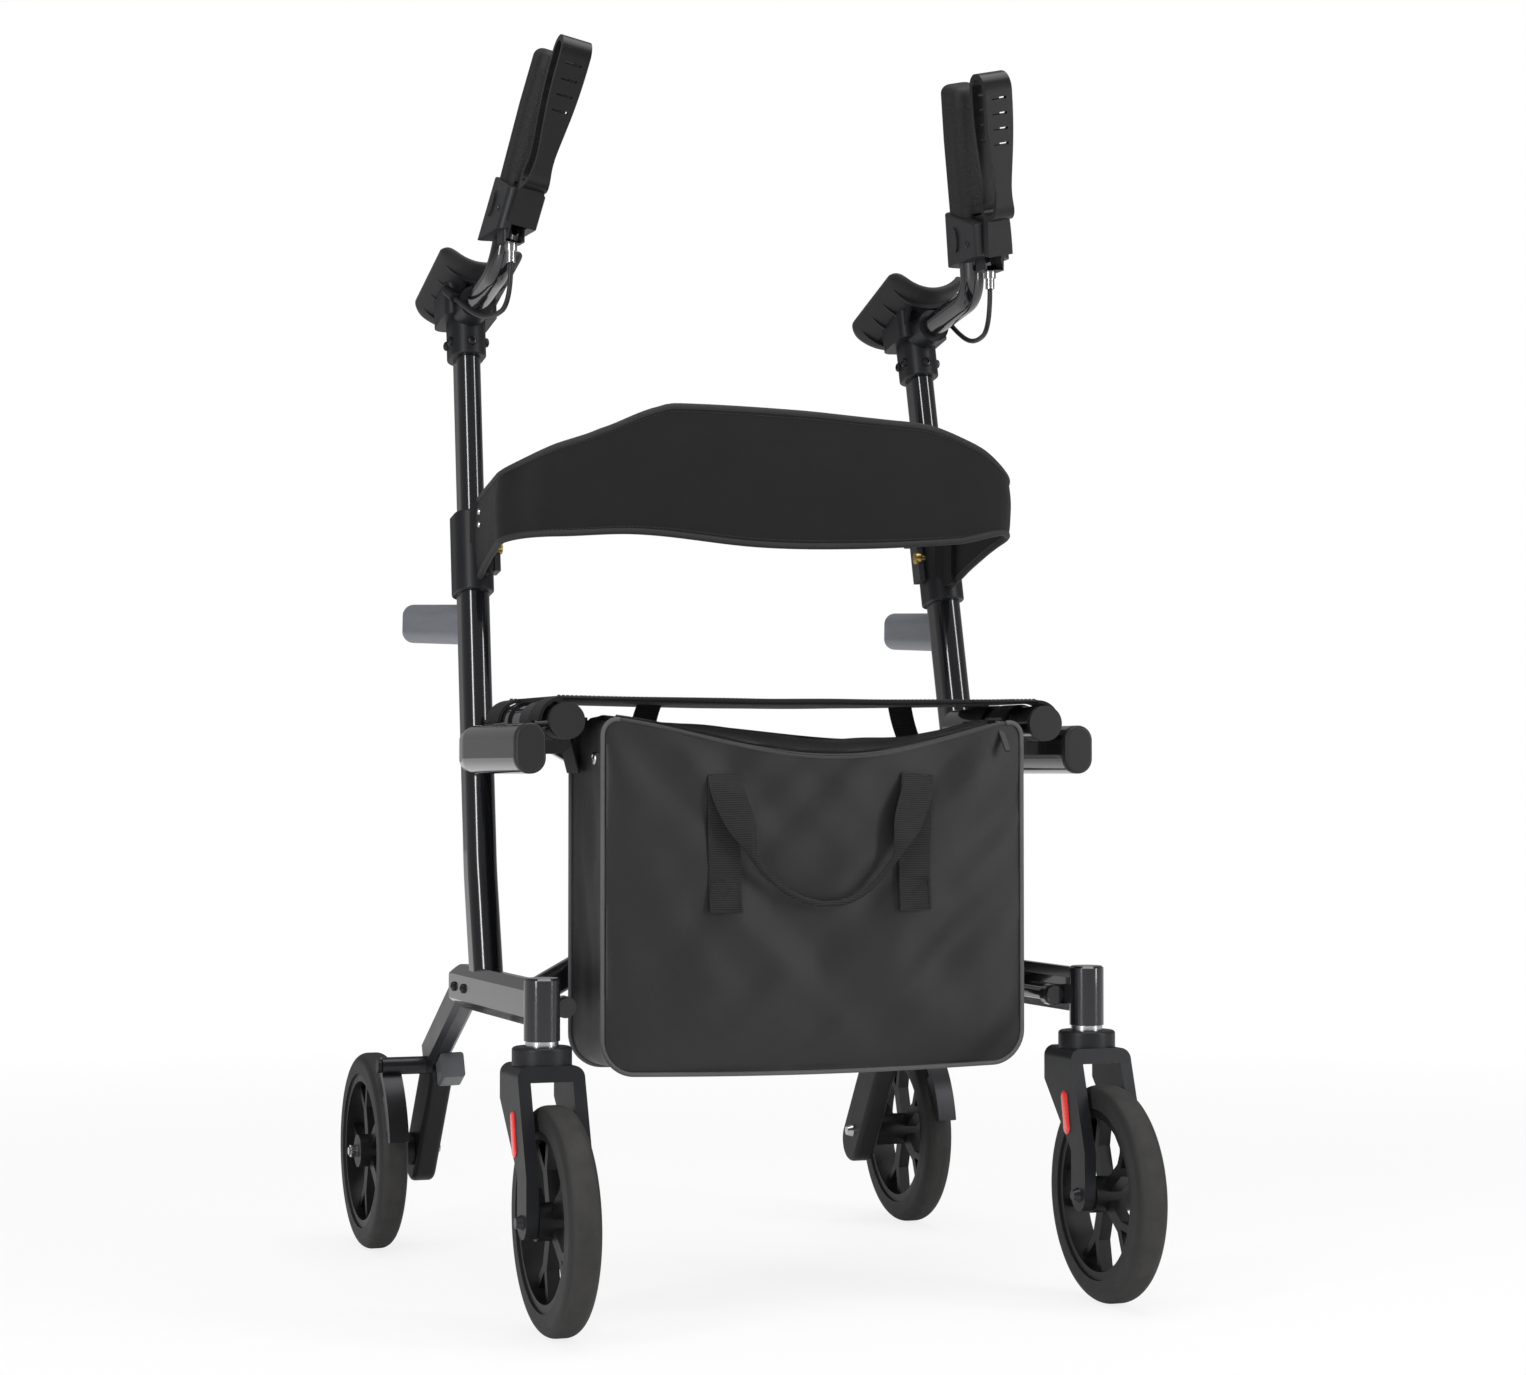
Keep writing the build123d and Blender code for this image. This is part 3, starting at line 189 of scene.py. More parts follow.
def gloss_paint(name, colour, dust, cap_from=None):
    """Gloss powder coat: faint orange peel, dust in the coat, and matt caps in front of a line."""
    paint = Finish(name, Coat_Roughness=0.04, IOR=1.5, Specular_IOR_Level=0.35)
    cloud = paint.grain(14, 3)
    colours = paint.blend(cloud, colour, dust)
    gloss = cloud * 0.08 + 0.14
    coat = 1.0
    if cap_from is not None:
        cap = paint.axes()[1].below(cap_from)
        colours = paint.blend(cap, colours, (0.012, 0.012, 0.013))
        gloss = gloss + cap * 0.35
        coat = 1 - cap * 0.9
    paint.vary("Base Color", colours)
    paint.vary("Roughness", gloss)
    paint.vary("Coat Weight", coat)
    paint.raise_by(paint.grain(900, 1), 0.00004, 0.4)
    return paint


tube_colours = (0.0045, 0.0048, 0.0065), (0.008, 0.0085, 0.011)
cap_line = -0.2116
tube_black = gloss_paint("gloss_black_tube", *tube_colours)
tube_black.on("lower_rail", "upright", "upper_tube", "handle_tube", "cross_arm_a", "cross_arm_b")
capped_black = gloss_paint("gloss_black_capped_tube", *tube_colours, cap_line)
capped_black.on("seat_rail", "seat_tube")

# Rear legs: the same oval tube family in a satin charcoal, bent down to the wheel housings.
# A lighter anodised clamp block sits under each leg, where the brake rod is guided.
leg_root = Vector((0.269, 0.0254, 0.2885))
leg_run = Vector((-0.018, 0.207, -0.0855)).normalized()
leg_across = (Vector((1, 0, 0)) - leg_run * leg_run.x).normalized()
leg_down = leg_run.cross(leg_across)
leg_half = 0.017


def mirrored(vector, way):
    """A vector of the left side, or its mirror image for the right side."""
    return Vector((vector.x * way, vector.y, vector.z))


def charcoal_leg(side, way):
    """Satin charcoal tube, with the block under it in light anodised grey."""
    satin = Finish("charcoal_leg_" + side, Coat_Roughness=0.2)
    under = satin.along(mirrored(leg_down, way), mirrored(leg_root, way))
    block = under.above(leg_half + 0.0006, 0.0004)
    cloud = satin.grain(40, 3)
    tube = satin.blend(cloud, (0.016, 0.017, 0.02), (0.026, 0.027, 0.031))
    satin.vary("Base Color", satin.blend(block, tube, (0.16, 0.165, 0.175)))
    satin.vary("Roughness", cloud * 0.1 + 0.3 + block * 0.08)
    satin.vary("Metallic", block * 0.5)
    satin.raise_by(satin.grain(1200, 1), 0.00003, 0.5)
    satin.on(side + "_rear_leg")


for side, way in sides.items():
    charcoal_leg(side, way)

# Grab pegs: short oval stubs behind the uprights, in a light blue-grey anodised finish.
# The end of each is rounded over, and the skin is lightly brushed along its length.
peg_grey = Finish("light_grey_peg", Metallic=0.35)
peg_brush = peg_grey.grain(300, 2, (1, 0.08, 1))
peg_grey.vary("Base Color", peg_grey.blend(peg_brush, (0.15, 0.16, 0.185), (0.23, 0.245, 0.275)))
peg_grey.vary("Roughness", peg_brush * 0.15 + 0.3)
peg_grey.raise_by(peg_brush, 0.00003, 0.5)
peg_grey.on("grab_peg")

# Moulded plastic: forks, wheel housings, clamps and brackets, in a slate black with a fine spark
# texture from the mould. Handling has polished it in patches, so the gloss is uneven.


def moulded(name, dark, light, rough, depth=0.00008):
    """Injection moulded plastic with a spark-eroded texture."""
    plastic = Finish(name, Specular_IOR_Level=0.3)
    patch = plastic.grain(22, 4)
    plastic.vary("Base Color", plastic.blend(patch, dark, light))
    plastic.vary("Roughness", patch * 0.16 + rough)
    plastic.raise_by(plastic.grain(1500, 2), depth, 0.6)
    return plastic


slate = moulded("moulded_slate", (0.0085, 0.009, 0.0105), (0.014, 0.0145, 0.017), 0.33)
slate.on("caster_fork", "armrest_bracket", "backrest_clamp")
housing_black = moulded("moulded_black", (0.006, 0.006, 0.007), (0.010, 0.010, 0.011), 0.4)
housing_black.on("wheel_housing")

# Wheels: glass-filled nylon with five forked spokes, each with a round-shouldered grey tyre.
# The tyre is solid rubber, matt on the tread and slightly scuffed where it meets the floor.
wheel_radius = 0.1015
wheel_black = moulded("wheel_nylon", (0.004, 0.004, 0.0045), (0.007, 0.007, 0.0075), 0.36, 0.00005)
wheel_black.on("front_wheel", "rear_wheel")


def tyre_finish(name, centre_y):
    """Solid grey rubber: a scuffed tread and faint rings on the side walls."""
    rubber = Finish(name, Specular_IOR_Level=0.3)
    axes = rubber.axes()
    across, up = axes[1] - centre_y, axes[2] - wheel_radius
    radius = (across * across + up * up) ** 0.5
    tread = radius.above(wheel_radius - 0.003, 0.002)
    scuff = rubber.grain(60, 5) * tread
    wall = rubber.blend(rubber.grain(25, 3), (0.017, 0.0165, 0.0165), (0.024, 0.0235, 0.023))
    rubber.vary("Base Color", rubber.blend(scuff, wall, (0.045, 0.043, 0.041)))
    rubber.vary("Roughness", tread * 0.14 + rubber.grain(90, 2) * 0.12 + 0.5)
    ring_pitch = 0.0024
    rubber.raise_by((radius * (tau / ring_pitch)).wave(), 0.00012, 0.35)
    rubber.raise_by(rubber.grain(700, 3), 0.00012, 0.5)
    return rubber


front_wheel_y = -0.2879
tyre_finish("front_tyre_rubber", front_wheel_y).on("front_tyre")
tyre_finish("rear_tyre_rubber", -front_wheel_y).on("rear_tyre")

# Axles, stems and pins: zinc-plated steel, turned, with domed heads and hexagon nuts.
# The front axle heads are blackened, and the rear ones are left bright.


def plated(name, colour, rough, metallic=1.0):
    """Turned and plated metal with fine tool marks."""
    metal = Finish(name, Metallic=metallic)
    marks = metal.grain(400, 3, (6, 1, 1))
    metal.vary("Base Color", metal.blend(marks, colour, tuple(0.8 * part for part in colour)))
    metal.vary("Roughness", marks * 0.14 + rough)
    metal.raise_by(marks, 0.00002, 0.4)
    return metal


bright_steel = plated("bright_steel", (0.62, 0.62, 0.63), 0.16)
bright_steel.on("rear_axle", "caster_stem", "cable_adjuster", "lever_pin", "cross_bolt")
black_steel = plated("blackened_steel", (0.035, 0.035, 0.038), 0.24, 0.7)
black_steel.on("front_axle", "brake_arm")
latch_grey = moulded("latch_grey", (0.03, 0.031, 0.034), (0.05, 0.051, 0.055), 0.32)
latch_grey.on("height_latch")
brass = plated("brass", (0.6, 0.42, 0.14), 0.25)

# Reflectors: a red stadium-shaped lens on the outer and the inner face of each front fork.
# It is clear red acrylic over a prism plate, and its rim is rounded over.
red_lens = Finish("red_reflector", Coat_Weight=1.0, Coat_Roughness=0.03)
prism = red_lens.cells(900)
red_lens.vary("Base Color", red_lens.blend(prism, (0.62, 0.012, 0.01), (0.9, 0.04, 0.03)))
red_lens.vary("Roughness", prism * 0.1 + 0.15)
red_lens.raise_by(prism, 0.0002, 0.5)


def added(name, data):
    """A new object in the scene."""
    piece = bpy.data.objects.new(name, data)
    bpy.context.scene.collection.objects.link(piece)
    return piece


def finished(name, points, faces, finish, slot, body, crease=35):
    """A closed mesh as a named piece: normals outwards, smooth but for its creases."""
    mesh = bpy.data.meshes.new(name)
    mesh.from_pydata([tuple(p) for p in points], [], faces)
    shape = bmesh.new()
    shape.from_mesh(mesh)
    bmesh.ops.remove_doubles(shape, verts=shape.verts, dist=0.00002)
    bmesh.ops.recalc_face_normals(shape, faces=shape.faces)
    shape.to_mesh(mesh)
    shape.free()
    mesh.shade_smooth()
    mesh.set_sharp_from_angle(angle=radians(crease))
    mesh.materials.append(finish.material)
    piece = added(name, mesh)
    if body:
        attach(piece, body)
    return piece


def swept(rings, closed=False):
    """Points and faces of a skin through rings of points, capped unless it closes on itself."""
    count = len(rings[0])
    points = [p for ring in rings for p in ring]
    faces = []
    pairs = [(k, k + 1) for k in range(len(rings) - 1)]
    if closed:
        pairs.append((len(rings) - 1, 0))
    for low, high in pairs:
        a, b = low * count, high * count
        for k in range(count):
            m = (k + 1) % count
            faces.append((a + k, a + m, b + m, b + k))
    if not closed:
        faces.append(tuple(reversed(range(count))))
        faces.append(tuple((len(rings) - 1) * count + k for k in range(count)))
    return points, faces


def stadium(length, width, steps=10):
    """The outline of a bar with round ends, centred, long along its second axis."""
    outline = []
    for end, start in ((1, 0.0), (-1, pi)):
        for k in range(steps + 1):
            angle = start + pi * k / steps
            outline.append((width / 2 * cos(angle),
                            end * (length - width) / 2 + width / 2 * sin(angle)))
    return outline


lens_length, lens_width = 0.041, 0.0125
lens_y, lens_z = -0.262, 0.176
lens_up = Vector((0, 0.2, 0.98))
lens_across = Vector((0, 0.98, -0.2))
lens_profile = (0.0, -0.0025), (0.0, 0.0006), (0.0008, 0.0013), (0.0022, 0.0017)
for side, way in sides.items():
    for face, hand, x in (("outer", 1, 0.3002), ("inner", -1, 0.2378)):
        centre, normal = Vector((way * x, lens_y, lens_z)), Vector((way * hand, 0, 0))
        lens_rings = []
        for inset, lift in lens_profile:
            ring = stadium(lens_length - 2 * inset, lens_width - 2 * inset)
            lens_rings.append([centre + lens_across * a + lens_up * b + normal * lift
                               for a, b in ring])
        finished(side + "_reflector_" + face, *swept(lens_rings), red_lens, "light_plastic",
                 side + "_caster")

# Screws and rivets: domed button heads with a round recess, set wherever a sleeve is fixed.
# They are steel, and one recipe sets each group of them at its points, facing its own way.


class Recipe:
    """A Geometry Nodes tree with named inputs, run once on a plain mesh."""

    def __init__(self, name, inputs):
        self.tree = bpy.data.node_groups.new(name, "GeometryNodeTree")
        face = self.tree.interface
        for label, kind in {"Geometry": "Geometry", **inputs}.items():
            face.new_socket(label, in_out="INPUT", socket_type="NodeSocket" + kind)
        face.new_socket("Geometry", in_out="OUTPUT", socket_type="NodeSocketGeometry")
        self.given = self.tree.nodes.new("NodeGroupInput").outputs

    def step(self, kind, settings=None, **inputs):
        return add_node(self.tree, kind, settings, inputs).outputs

    def end(self, geometry):
        real = self.step("GeometryNodeRealizeInstances", Geometry=geometry)[0]
        painted = self.step("GeometryNodeSetMaterial", Geometry=real,
                            Material=self.given["Material"])
        out = self.tree.nodes.new("NodeGroupOutput")
        self.tree.links.new(painted[0], out.inputs[0])

    def run(self, name, mesh, values, body):
        """Runs the tree on a mesh and keeps the result as a plain piece."""
        piece = added(name, mesh)
        work = piece.modifiers.new("build", "NODES")
        work.node_group = self.tree
        for item in self.tree.interface.items_tree:
            if item.in_out == "INPUT" and item.name in values:
                work[item.identifier] = values[item.name]
        bpy.context.view_layer.update()
        view = bpy.context.evaluated_depsgraph_get()
        made = bpy.data.meshes.new_from_object(piece.evaluated_get(view))
        piece.modifiers.remove(work)
        piece.data = made
        made.shade_smooth()
        made.set_sharp_from_angle(angle=radians(35))
        if body:
            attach(piece, body)
        return piece


set_pieces = Recipe("set_pieces", {"Head": "Object", "Material": "Material"})
aim = set_pieces.step("GeometryNodeInputNamedAttribute", {"data_type": "FLOAT_VECTOR"}, Name="aim")
turn_to = set_pieces.step("FunctionNodeAlignRotationToVector", {"axis": "Z"},
                          Vector=aim["Attribute"])
head_shape = set_pieces.step("GeometryNodeObjectInfo", Object=set_pieces.given["Head"])
placed_heads = set_pieces.step("GeometryNodeInstanceOnPoints", Points=set_pieces.given["Geometry"],
                               Instance=head_shape["Geometry"], Rotation=turn_to[0])
set_pieces.end(placed_heads[0])


def turned(profile, count=20):
    """Points and faces of a turned piece, from a list of radius and height."""
    angles = [tau * k / count for k in range(count)]
    return swept([[Vector((r * cos(angle), r * sin(angle), h)) for angle in angles]
                  for r, h in profile])


def set_heads(name, head, spots, finish, body):
    """Sets copies of a head at points, each with the direction that it faces."""
    mould = finished(name + "_mould", *head, finish, None, None)
    mesh = bpy.data.meshes.new(name)
    mesh.from_pydata([tuple(place) for place, facing in spots], [], [])
    attribute = mesh.attributes.new("aim", "FLOAT_VECTOR", "POINT")
    for item, (place, facing) in zip(attribute.data, spots):
        item.vector = facing
    piece = set_pieces.run(name, mesh, {"Head": mould, "Material": finish.material}, body)
    bpy.data.objects.remove(mould)
    return piece


button_head = turned(((0.0045, -0.0015), (0.0048, 0.0008), (0.0042, 0.0022), (0.0028, 0.003),
                      (0.0019, 0.0031), (0.0019, 0.0012), (0.0004, 0.0012)))
rivet_head = turned(((0.0032, -0.001), (0.0034, 0.0006), (0.0028, 0.0016), (0.0014, 0.0022),
                     (0.0003, 0.0023)), 16)
post_dir = Vector((-0.0245, 0.209, 1)).normalized()


def post_point(over, way):
    """The point of an upright's axis at a height over its bend's end."""
    return Vector((way * (0.2542 - 0.0245 * over), 0.0564 + 0.209 * over, 0.6195 + over))


sleeve_over, sleeve_front_over, knob_over = 0.309, 0.305, 0.099
knob = turned(((0.0038, -0.004), (0.0038, 0.002), (0.0062, 0.003), (0.0066, 0.007),
               (0.006, 0.0086), (0.003, 0.0094), (0.0004, 0.0095)))
for side, way in sides.items():
    out = Vector((way, 0, 0))
    front = (Vector((0, -1, 0)) + post_dir * 0.2046).normalized()
    sleeve = [(post_point(sleeve_over, way) + out * hand * 0.0182 + front * shift, out * hand)
              for hand in (1, -1) for shift in (-0.008, 0.008)]
    sleeve.append((post_point(sleeve_front_over, way) + front * 0.0252, front))
    set_heads(side + "_sleeve_screws", button_head, sleeve, black_steel, side + "_mast")
    rail = [(Vector((way * 0.2817, -0.2426 + y, 0.2885)), out) for y in (0.268, 0.232)]
    set_heads(side + "_rail_screws", button_head, rail, black_steel, side + "_frame")
    knob_spot = post_point(knob_over, way) - out * 0.0205 + front * 0.006
    set_heads(side + "_clamp_knob", knob, [(knob_spot, -out)], brass, side + "_frame")

# Forearm rests: a soft self-skinning foam trough on each bracket, with a rolled rim all round.
# The skin is matt black; four moulded ribs under it brace the trough against the bracket.
pad_skin = Finish("foam_skin", Sheen_Weight=0.1, Sheen_Roughness=0.5, Specular_IOR_Level=0.3)
pad_cloud = pad_skin.grain(35, 4)
pad_skin.vary("Base Color", pad_skin.blend(pad_cloud, (0.006, 0.006, 0.0065),
                                           (0.011, 0.011, 0.012)))
pad_skin.vary("Roughness", pad_cloud * 0.15 + 0.55)
pad_skin.raise_by(pad_skin.cells(1100), 0.0001, 0.5)
pad_tilt = radians(19)
pad_along = Vector((0, -cos(pad_tilt), sin(pad_tilt)))
pad_rise = Vector((0, sin(pad_tilt), cos(pad_tilt)))
pad_radius, pad_length, pad_thick = 0.052, 0.140, 0.012
pad_sweep = acos(1 - 0.027 / pad_radius)
pad_corner = 0.020
pad_rows, pad_cols = 33, 37


def sewn_shell(front, back, edges=()):
    """Points and faces of a closed shell from two grids, joined round their borders."""
    rows, cols = len(front), len(front[0])
    points = [p for row in front for p in row] + [p for row in back for p in row]
    half = rows * cols
    faces = []
    for i in range(rows - 1):
        for j in range(cols - 1):
            a = i * cols + j
            quad = (a, a + 1, a + cols + 1, a + cols)
            faces.append(quad)
            faces.append(tuple(half + q for q in reversed(quad)))
    border = border_of(rows, cols)
    loops = [[i * cols + j for i, j in border]]
    for edge in edges:
        loops.append(list(range(len(points), len(points) + len(edge))))
        points += edge
    loops.append([half + i * cols + j for i, j in border])
    for low, high in zip(loops, loops[1:]):
        for k in range(len(low)):
            m = (k + 1) % len(low)
            faces.append((low[m], low[k], high[k], high[m]))
    return points, faces


def border_of(rows, cols):
    """The border of a grid, once round from its first corner."""
    return ([(0, j) for j in range(cols - 1)] + [(i, cols - 1) for i in range(rows - 1)]
            + [(rows - 1, j) for j in range(cols - 1, 0, -1)]
            + [(i, 0) for i in range(rows - 1, 0, -1)])


def joined(shapes):
    """Several closed shapes as one list of points and faces."""
    points, faces = [], []
    for more_points, more_faces in shapes:
        base = len(points)
        points += more_points
        faces += [tuple(base + q for q in face) for face in more_faces]
    return points, faces


def sewn(name, shapes, finish, crease):
    """Several closed shapes as one fabric piece."""
    return finished(name, *joined(shapes), finish, "fabric", None, crease)


def eased(k, count):
    """Step k of a row of steps, as a share from -1 to 1 that crowds together at both ends."""
    return sin((2 * k / (count - 1) - 1) * pi / 2)


def corner_loss(distance, radius):
    """How much a rounded corner takes off an edge, at a distance from the end."""
    short = max(radius - distance, 0)
    return radius - sqrt(max(radius * radius - short * short, 0))


def pad_grid(centre, inner):
    """One face of the forearm rest: the foam's top if inner, else its underside."""
    grid = []
    for i in range(pad_rows):
        a = eased(i, pad_rows)
        row = []
        for j in range(pad_cols):
            b = eased(j, pad_cols)
            to_side = pad_sweep * pad_radius * (1 - abs(b))
            along = a * (pad_length / 2 - corner_loss(to_side, pad_corner))
            angle = b * pad_sweep
            edge = max(abs(a), abs(b))
            body = pad_thick / 2 * sqrt(max(1 - edge ** 8, 0))
            roll = 0.0018 * max(0, 1 - abs(edge - 0.93) / 0.07)
            radius = pad_radius - pad_thick / 2 + (-body - roll if inner else body)
            row.append(centre + pad_along * along + Vector((radius * sin(angle), 0, 0))
                       + pad_rise * (pad_radius - radius * cos(angle)))
        grid.append(row)
    return grid


rib_sweep = radians(44)
rib_steps = 14
rib_root = pad_radius - 0.002
rib_rings = []
for k in range(rib_steps + 1):
    angle = rib_sweep * (2 * k / rib_steps - 1)
    rib_edge = pad_radius + 0.005 * cos(angle * 2)
    rib_rings.append([Vector((radius * sin(angle), pad_radius - radius * cos(angle), depth))
                      for radius, depth in ((rib_root, -0.0016), (rib_root, 0.0016),
                                            (rib_edge, 0.0011), (rib_edge, -0.0011))])
rib_points, rib_faces = swept(rib_rings)
for side, way in sides.items():
    centre = Vector((way * 0.241, 0.1274, 0.9725))
    pad_shell = sewn_shell(pad_grid(centre, False), pad_grid(centre, True))
    pad = finished(side + "_forearm_pad", *pad_shell, pad_skin, "pad_foam", None, 60)
    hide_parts(side + "_arm_pad")
    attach(pad, side + "_mast")
    ribs = [([centre + pad_along * (shift + p.z) + Vector((p.x, 0, 0)) + pad_rise * p.y
              for p in rib_points], rib_faces) for shift in (-0.048, -0.016, 0.016, 0.048)]
    finished(side + "_pad_ribs", *joined(ribs), slate, "black_plastic", side + "_mast")

# Grips: a plastic pivot housing with oval side covers, and a soft rubber grip above it.
# The rubber is pebbled along its middle, and smooth at both of its ends.
grip_root = Vector((0.248, -0.0206, 1.0145))
grip_dir = Vector((-0.215, -0.34, 1)).normalized()


def grip_finish(side, way):
    """Slate plastic below, pebbled rubber above, divided along the grip's own axis."""
    rubber = Finish(side + "_grip_rubber", Specular_IOR_Level=0.35)
    up = rubber.along(mirrored(grip_dir, way), mirrored(grip_root, way))
    soft = up.above(0.054, 0.001)
    panel = up.above(0.066, 0.002) * (1 - up.above(0.168, 0.002))
    patch = rubber.grain(30, 3)
    hard = rubber.blend(patch, (0.012, 0.0125, 0.0145), (0.018, 0.0185, 0.021))
    pebbled = rubber.blend(rubber.cells(700), (0.006, 0.006, 0.0065), (0.016, 0.016, 0.017))
    rubber.vary("Base Color", rubber.blend(soft, hard, pebbled))
    rubber.vary("Roughness", patch * 0.12 + 0.36 + soft * 0.2)
    rubber.raise_by(rubber.cells(620) * panel, 0.0007, 0.8)
    rubber.raise_by(rubber.grain(1500, 2), 0.00008, 0.5)
    rubber.on(side + "_grip")


for side, way in sides.items():
    grip_finish(side, way)

# Brake levers: a closed nylon loop in front of each grip, with slots moulded through its top.
# Two bright rivets hold the spring strip in the strand next to the grip.
lever_black = moulded("lever_nylon", (0.005, 0.005, 0.0055), (0.009, 0.009, 0.01), 0.26, 0.00004)
lever_black.on("brake_lever")
toe = radians(3.5)


def grip_frame(way):
    """The grip's own axes on one side: across, to the rear and up."""
    up = mirrored(grip_dir, way)
    across = (Vector((1, 0, 0)) - up * up.x).normalized()
    across = Matrix.Rotation(toe * way, 3, up) @ across
    return across, up.cross(across), up, mirrored(grip_root, way)


for side, way in sides.items():
    across, rear, up, root = grip_frame(way)
    spots = [(root + rear * -0.0502 + up * height, rear) for height in (0.104, 0.122)]
    set_heads(side + "_lever_rivets", rivet_head, spots, bright_steel, side + "_lever")
    pins = [(root + rear * -0.032 + up * 0.030 + across * hand * 0.0188, across * hand)
            for hand in (1, -1)]
    set_heads(side + "_pin_heads", rivet_head, pins, black_steel, side + "_mast")

# Brake cables: a black vinyl-sheathed inner wire that leaves each adjuster, hangs below the grip
# and comes back into the bracket under the forearm rest. It is one smooth loose curve.
sheath = Finish("cable_sheath", Specular_IOR_Level=0.45)
sheath_cloud = sheath.grain(60, 2)
sheath.vary("Base Color", sheath.blend(sheath_cloud, (0.006, 0.006, 0.0065),
                                       (0.012, 0.012, 0.013)))
sheath.vary("Roughness", sheath_cloud * 0.12 + 0.28)
sheath.raise_by(sheath.grain(900, 1), 0.00004, 0.4)
cable_route = ((0.250, -0.0616, 0.9845), (0.250, -0.0616, 0.9445), (0.25608, -0.0126, 0.9365),
               (0.26254, 0.0394, 0.9485), (0.268, 0.0834, 0.9695))
cable_width = 0.005
for side, way in sides.items():
    curve = bpy.data.curves.new(side + "_cable", "CURVE")
    curve.dimensions = "3D"
    curve.bevel_depth = cable_width / 2
    curve.bevel_resolution = 4
    curve.resolution_u = 16
    curve.use_fill_caps = True
    spline = curve.splines.new("NURBS")
    spline.points.add(len(cable_route) - 1)
    for point, (x, y, z) in zip(spline.points, cable_route):
        point.co = (way * x, y, z, 1)
    spline.order_u = 3
    spline.use_endpoint_u = True
    curve.materials.append(sheath.material)
    cable = added(side + "_cable", curve)
    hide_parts(side + "_brake_cable")
    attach(cable, side + "_mast")
    start = cable_route[0]
    way * start[0]

# Backrest: a padded band of woven charcoal fabric, piped along both edges, between the clamps.
# Its ends narrow and drop to the clamps, where two rivets hold each of them.


def woven(name, dark, light, pitch, rough):
    """Woven cloth: warp and weft in relief, with uneven dye and a faint sheen."""
    cloth = Finish(name, Sheen_Weight=0.06, Sheen_Roughness=0.4, Specular_IOR_Level=0.18)
    x, y, z = cloth.axes()
    rate = tau / pitch
    warp = ((x + y * 0.92) * rate).wave()
    weft = ((z + y * 0.11) * rate).wave()
    weave = warp * weft * 0.5 + 0.5
    dye = cloth.grain(18, 5)
    thread = weave * 0.35 + dye * 0.65
    cloth.vary("Base Color", cloth.blend(thread, dark, light))
    cloth.vary("Roughness", dye * 0.1 + rough)
    cloth.raise_by(weave, 0.00018, 0.55)
    cloth.raise_by(cloth.grain(55, 4), 0.0006, 0.35)
    return cloth


band_cloth = woven("backrest_cloth", (0.006, 0.006, 0.0063), (0.013, 0.013, 0.0135), 0.0011, 0.6)
binding = woven("binding_tape", (0.022, 0.022, 0.0225), (0.038, 0.038, 0.039), 0.0009, 0.6)
band_steps = 150
band_rows = 17
band_half = 0.0028
band_front, band_depth = -0.1106, 0.158
end_low, end_high = 0.6885, 0.7655
crown_points = ((-0.30, 0.774), (-0.2535, 0.7905), (-0.215, 0.805), (-0.175, 0.8196),
                (-0.1152, 0.8432), (-0.085, 0.8468), (0.0277, 0.8446), (0.11, 0.8395),
                (0.165, 0.835), (0.21, 0.819), (0.248, 0.7985), (0.30, 0.777))
foot_points = ((-0.30, 0.7195), (-0.2143, 0.7225), (-0.1351, 0.7262), (-0.0136, 0.7168),
               (0.09, 0.7178), (0.1964, 0.7252), (0.25, 0.7365), (0.30, 0.738))


def curved(a, b, c, d, t):
    """A value between b and c, on the smooth line through four values."""
    return 0.5 * (2 * b + (c - a) * t + (2 * a - 5 * b + 4 * c - d) * t * t
                  + (3 * b - a - 3 * c + d) * t * t * t)


def between(table, at):
    """A value read from a table of places and values, on a smooth line through them."""
    last = len(table) - 1
    k = min(max(sum(1 for place, value in table if place <= at) - 1, 0), last - 1)
    t = min(max((at - table[k][0]) / (table[k + 1][0] - table[k][0]), 0), 1)
    return curved(*(table[min(max(k + m, 0), last)][1] for m in (-1, 0, 1, 2)), t)


def band_plan():
    """The middle line of the backrest seen from above, as evenly spaced points."""
    corner, side_x, end_x, end_y = 0.044, 0.262, 0.248, 0.0474
    lean = (side_x - end_x) / (0.290 - 0.134)
    line_steps, bend_steps, tail_steps = 60, 24, 34
    line = [Vector((-side_x + corner + (2 * (side_x - corner)) * k / line_steps, band_front))
            for k in range(line_steps + 1)]
    bend = [Vector((side_x - corner + corner * sin(a), band_front + corner - corner * cos(a)))
            for a in (radians(95) * k / bend_steps for k in range(1, bend_steps + 1))]
    tail = [bend[-1] + Vector((-lean, 1)) * (end_y - bend[-1].y) * k / tail_steps
            for k in range(1, tail_steps + 1)]
    half = bend + tail
    left = [Vector((-p.x, p.y)) for p in reversed(half)]
    return left + line + half


plan = band_plan()


def band_levels(point):
    """The lower and upper edge of the backrest at a point of its plan."""
    share = min(max((point.y - band_front) / band_depth, 0), 1)
    crown = between(crown_points, point.x)
    foot = between(foot_points, point.x)
    return foot + (end_low - foot) * share ** 1.5, crown + (end_high - crown) * share ** 0.8


def heading(path, k):
    """The direction of a line of points at one of them."""
    return (path[min(k + 1, len(path) - 1)] - path[max(k - 1, 0)]).normalized()


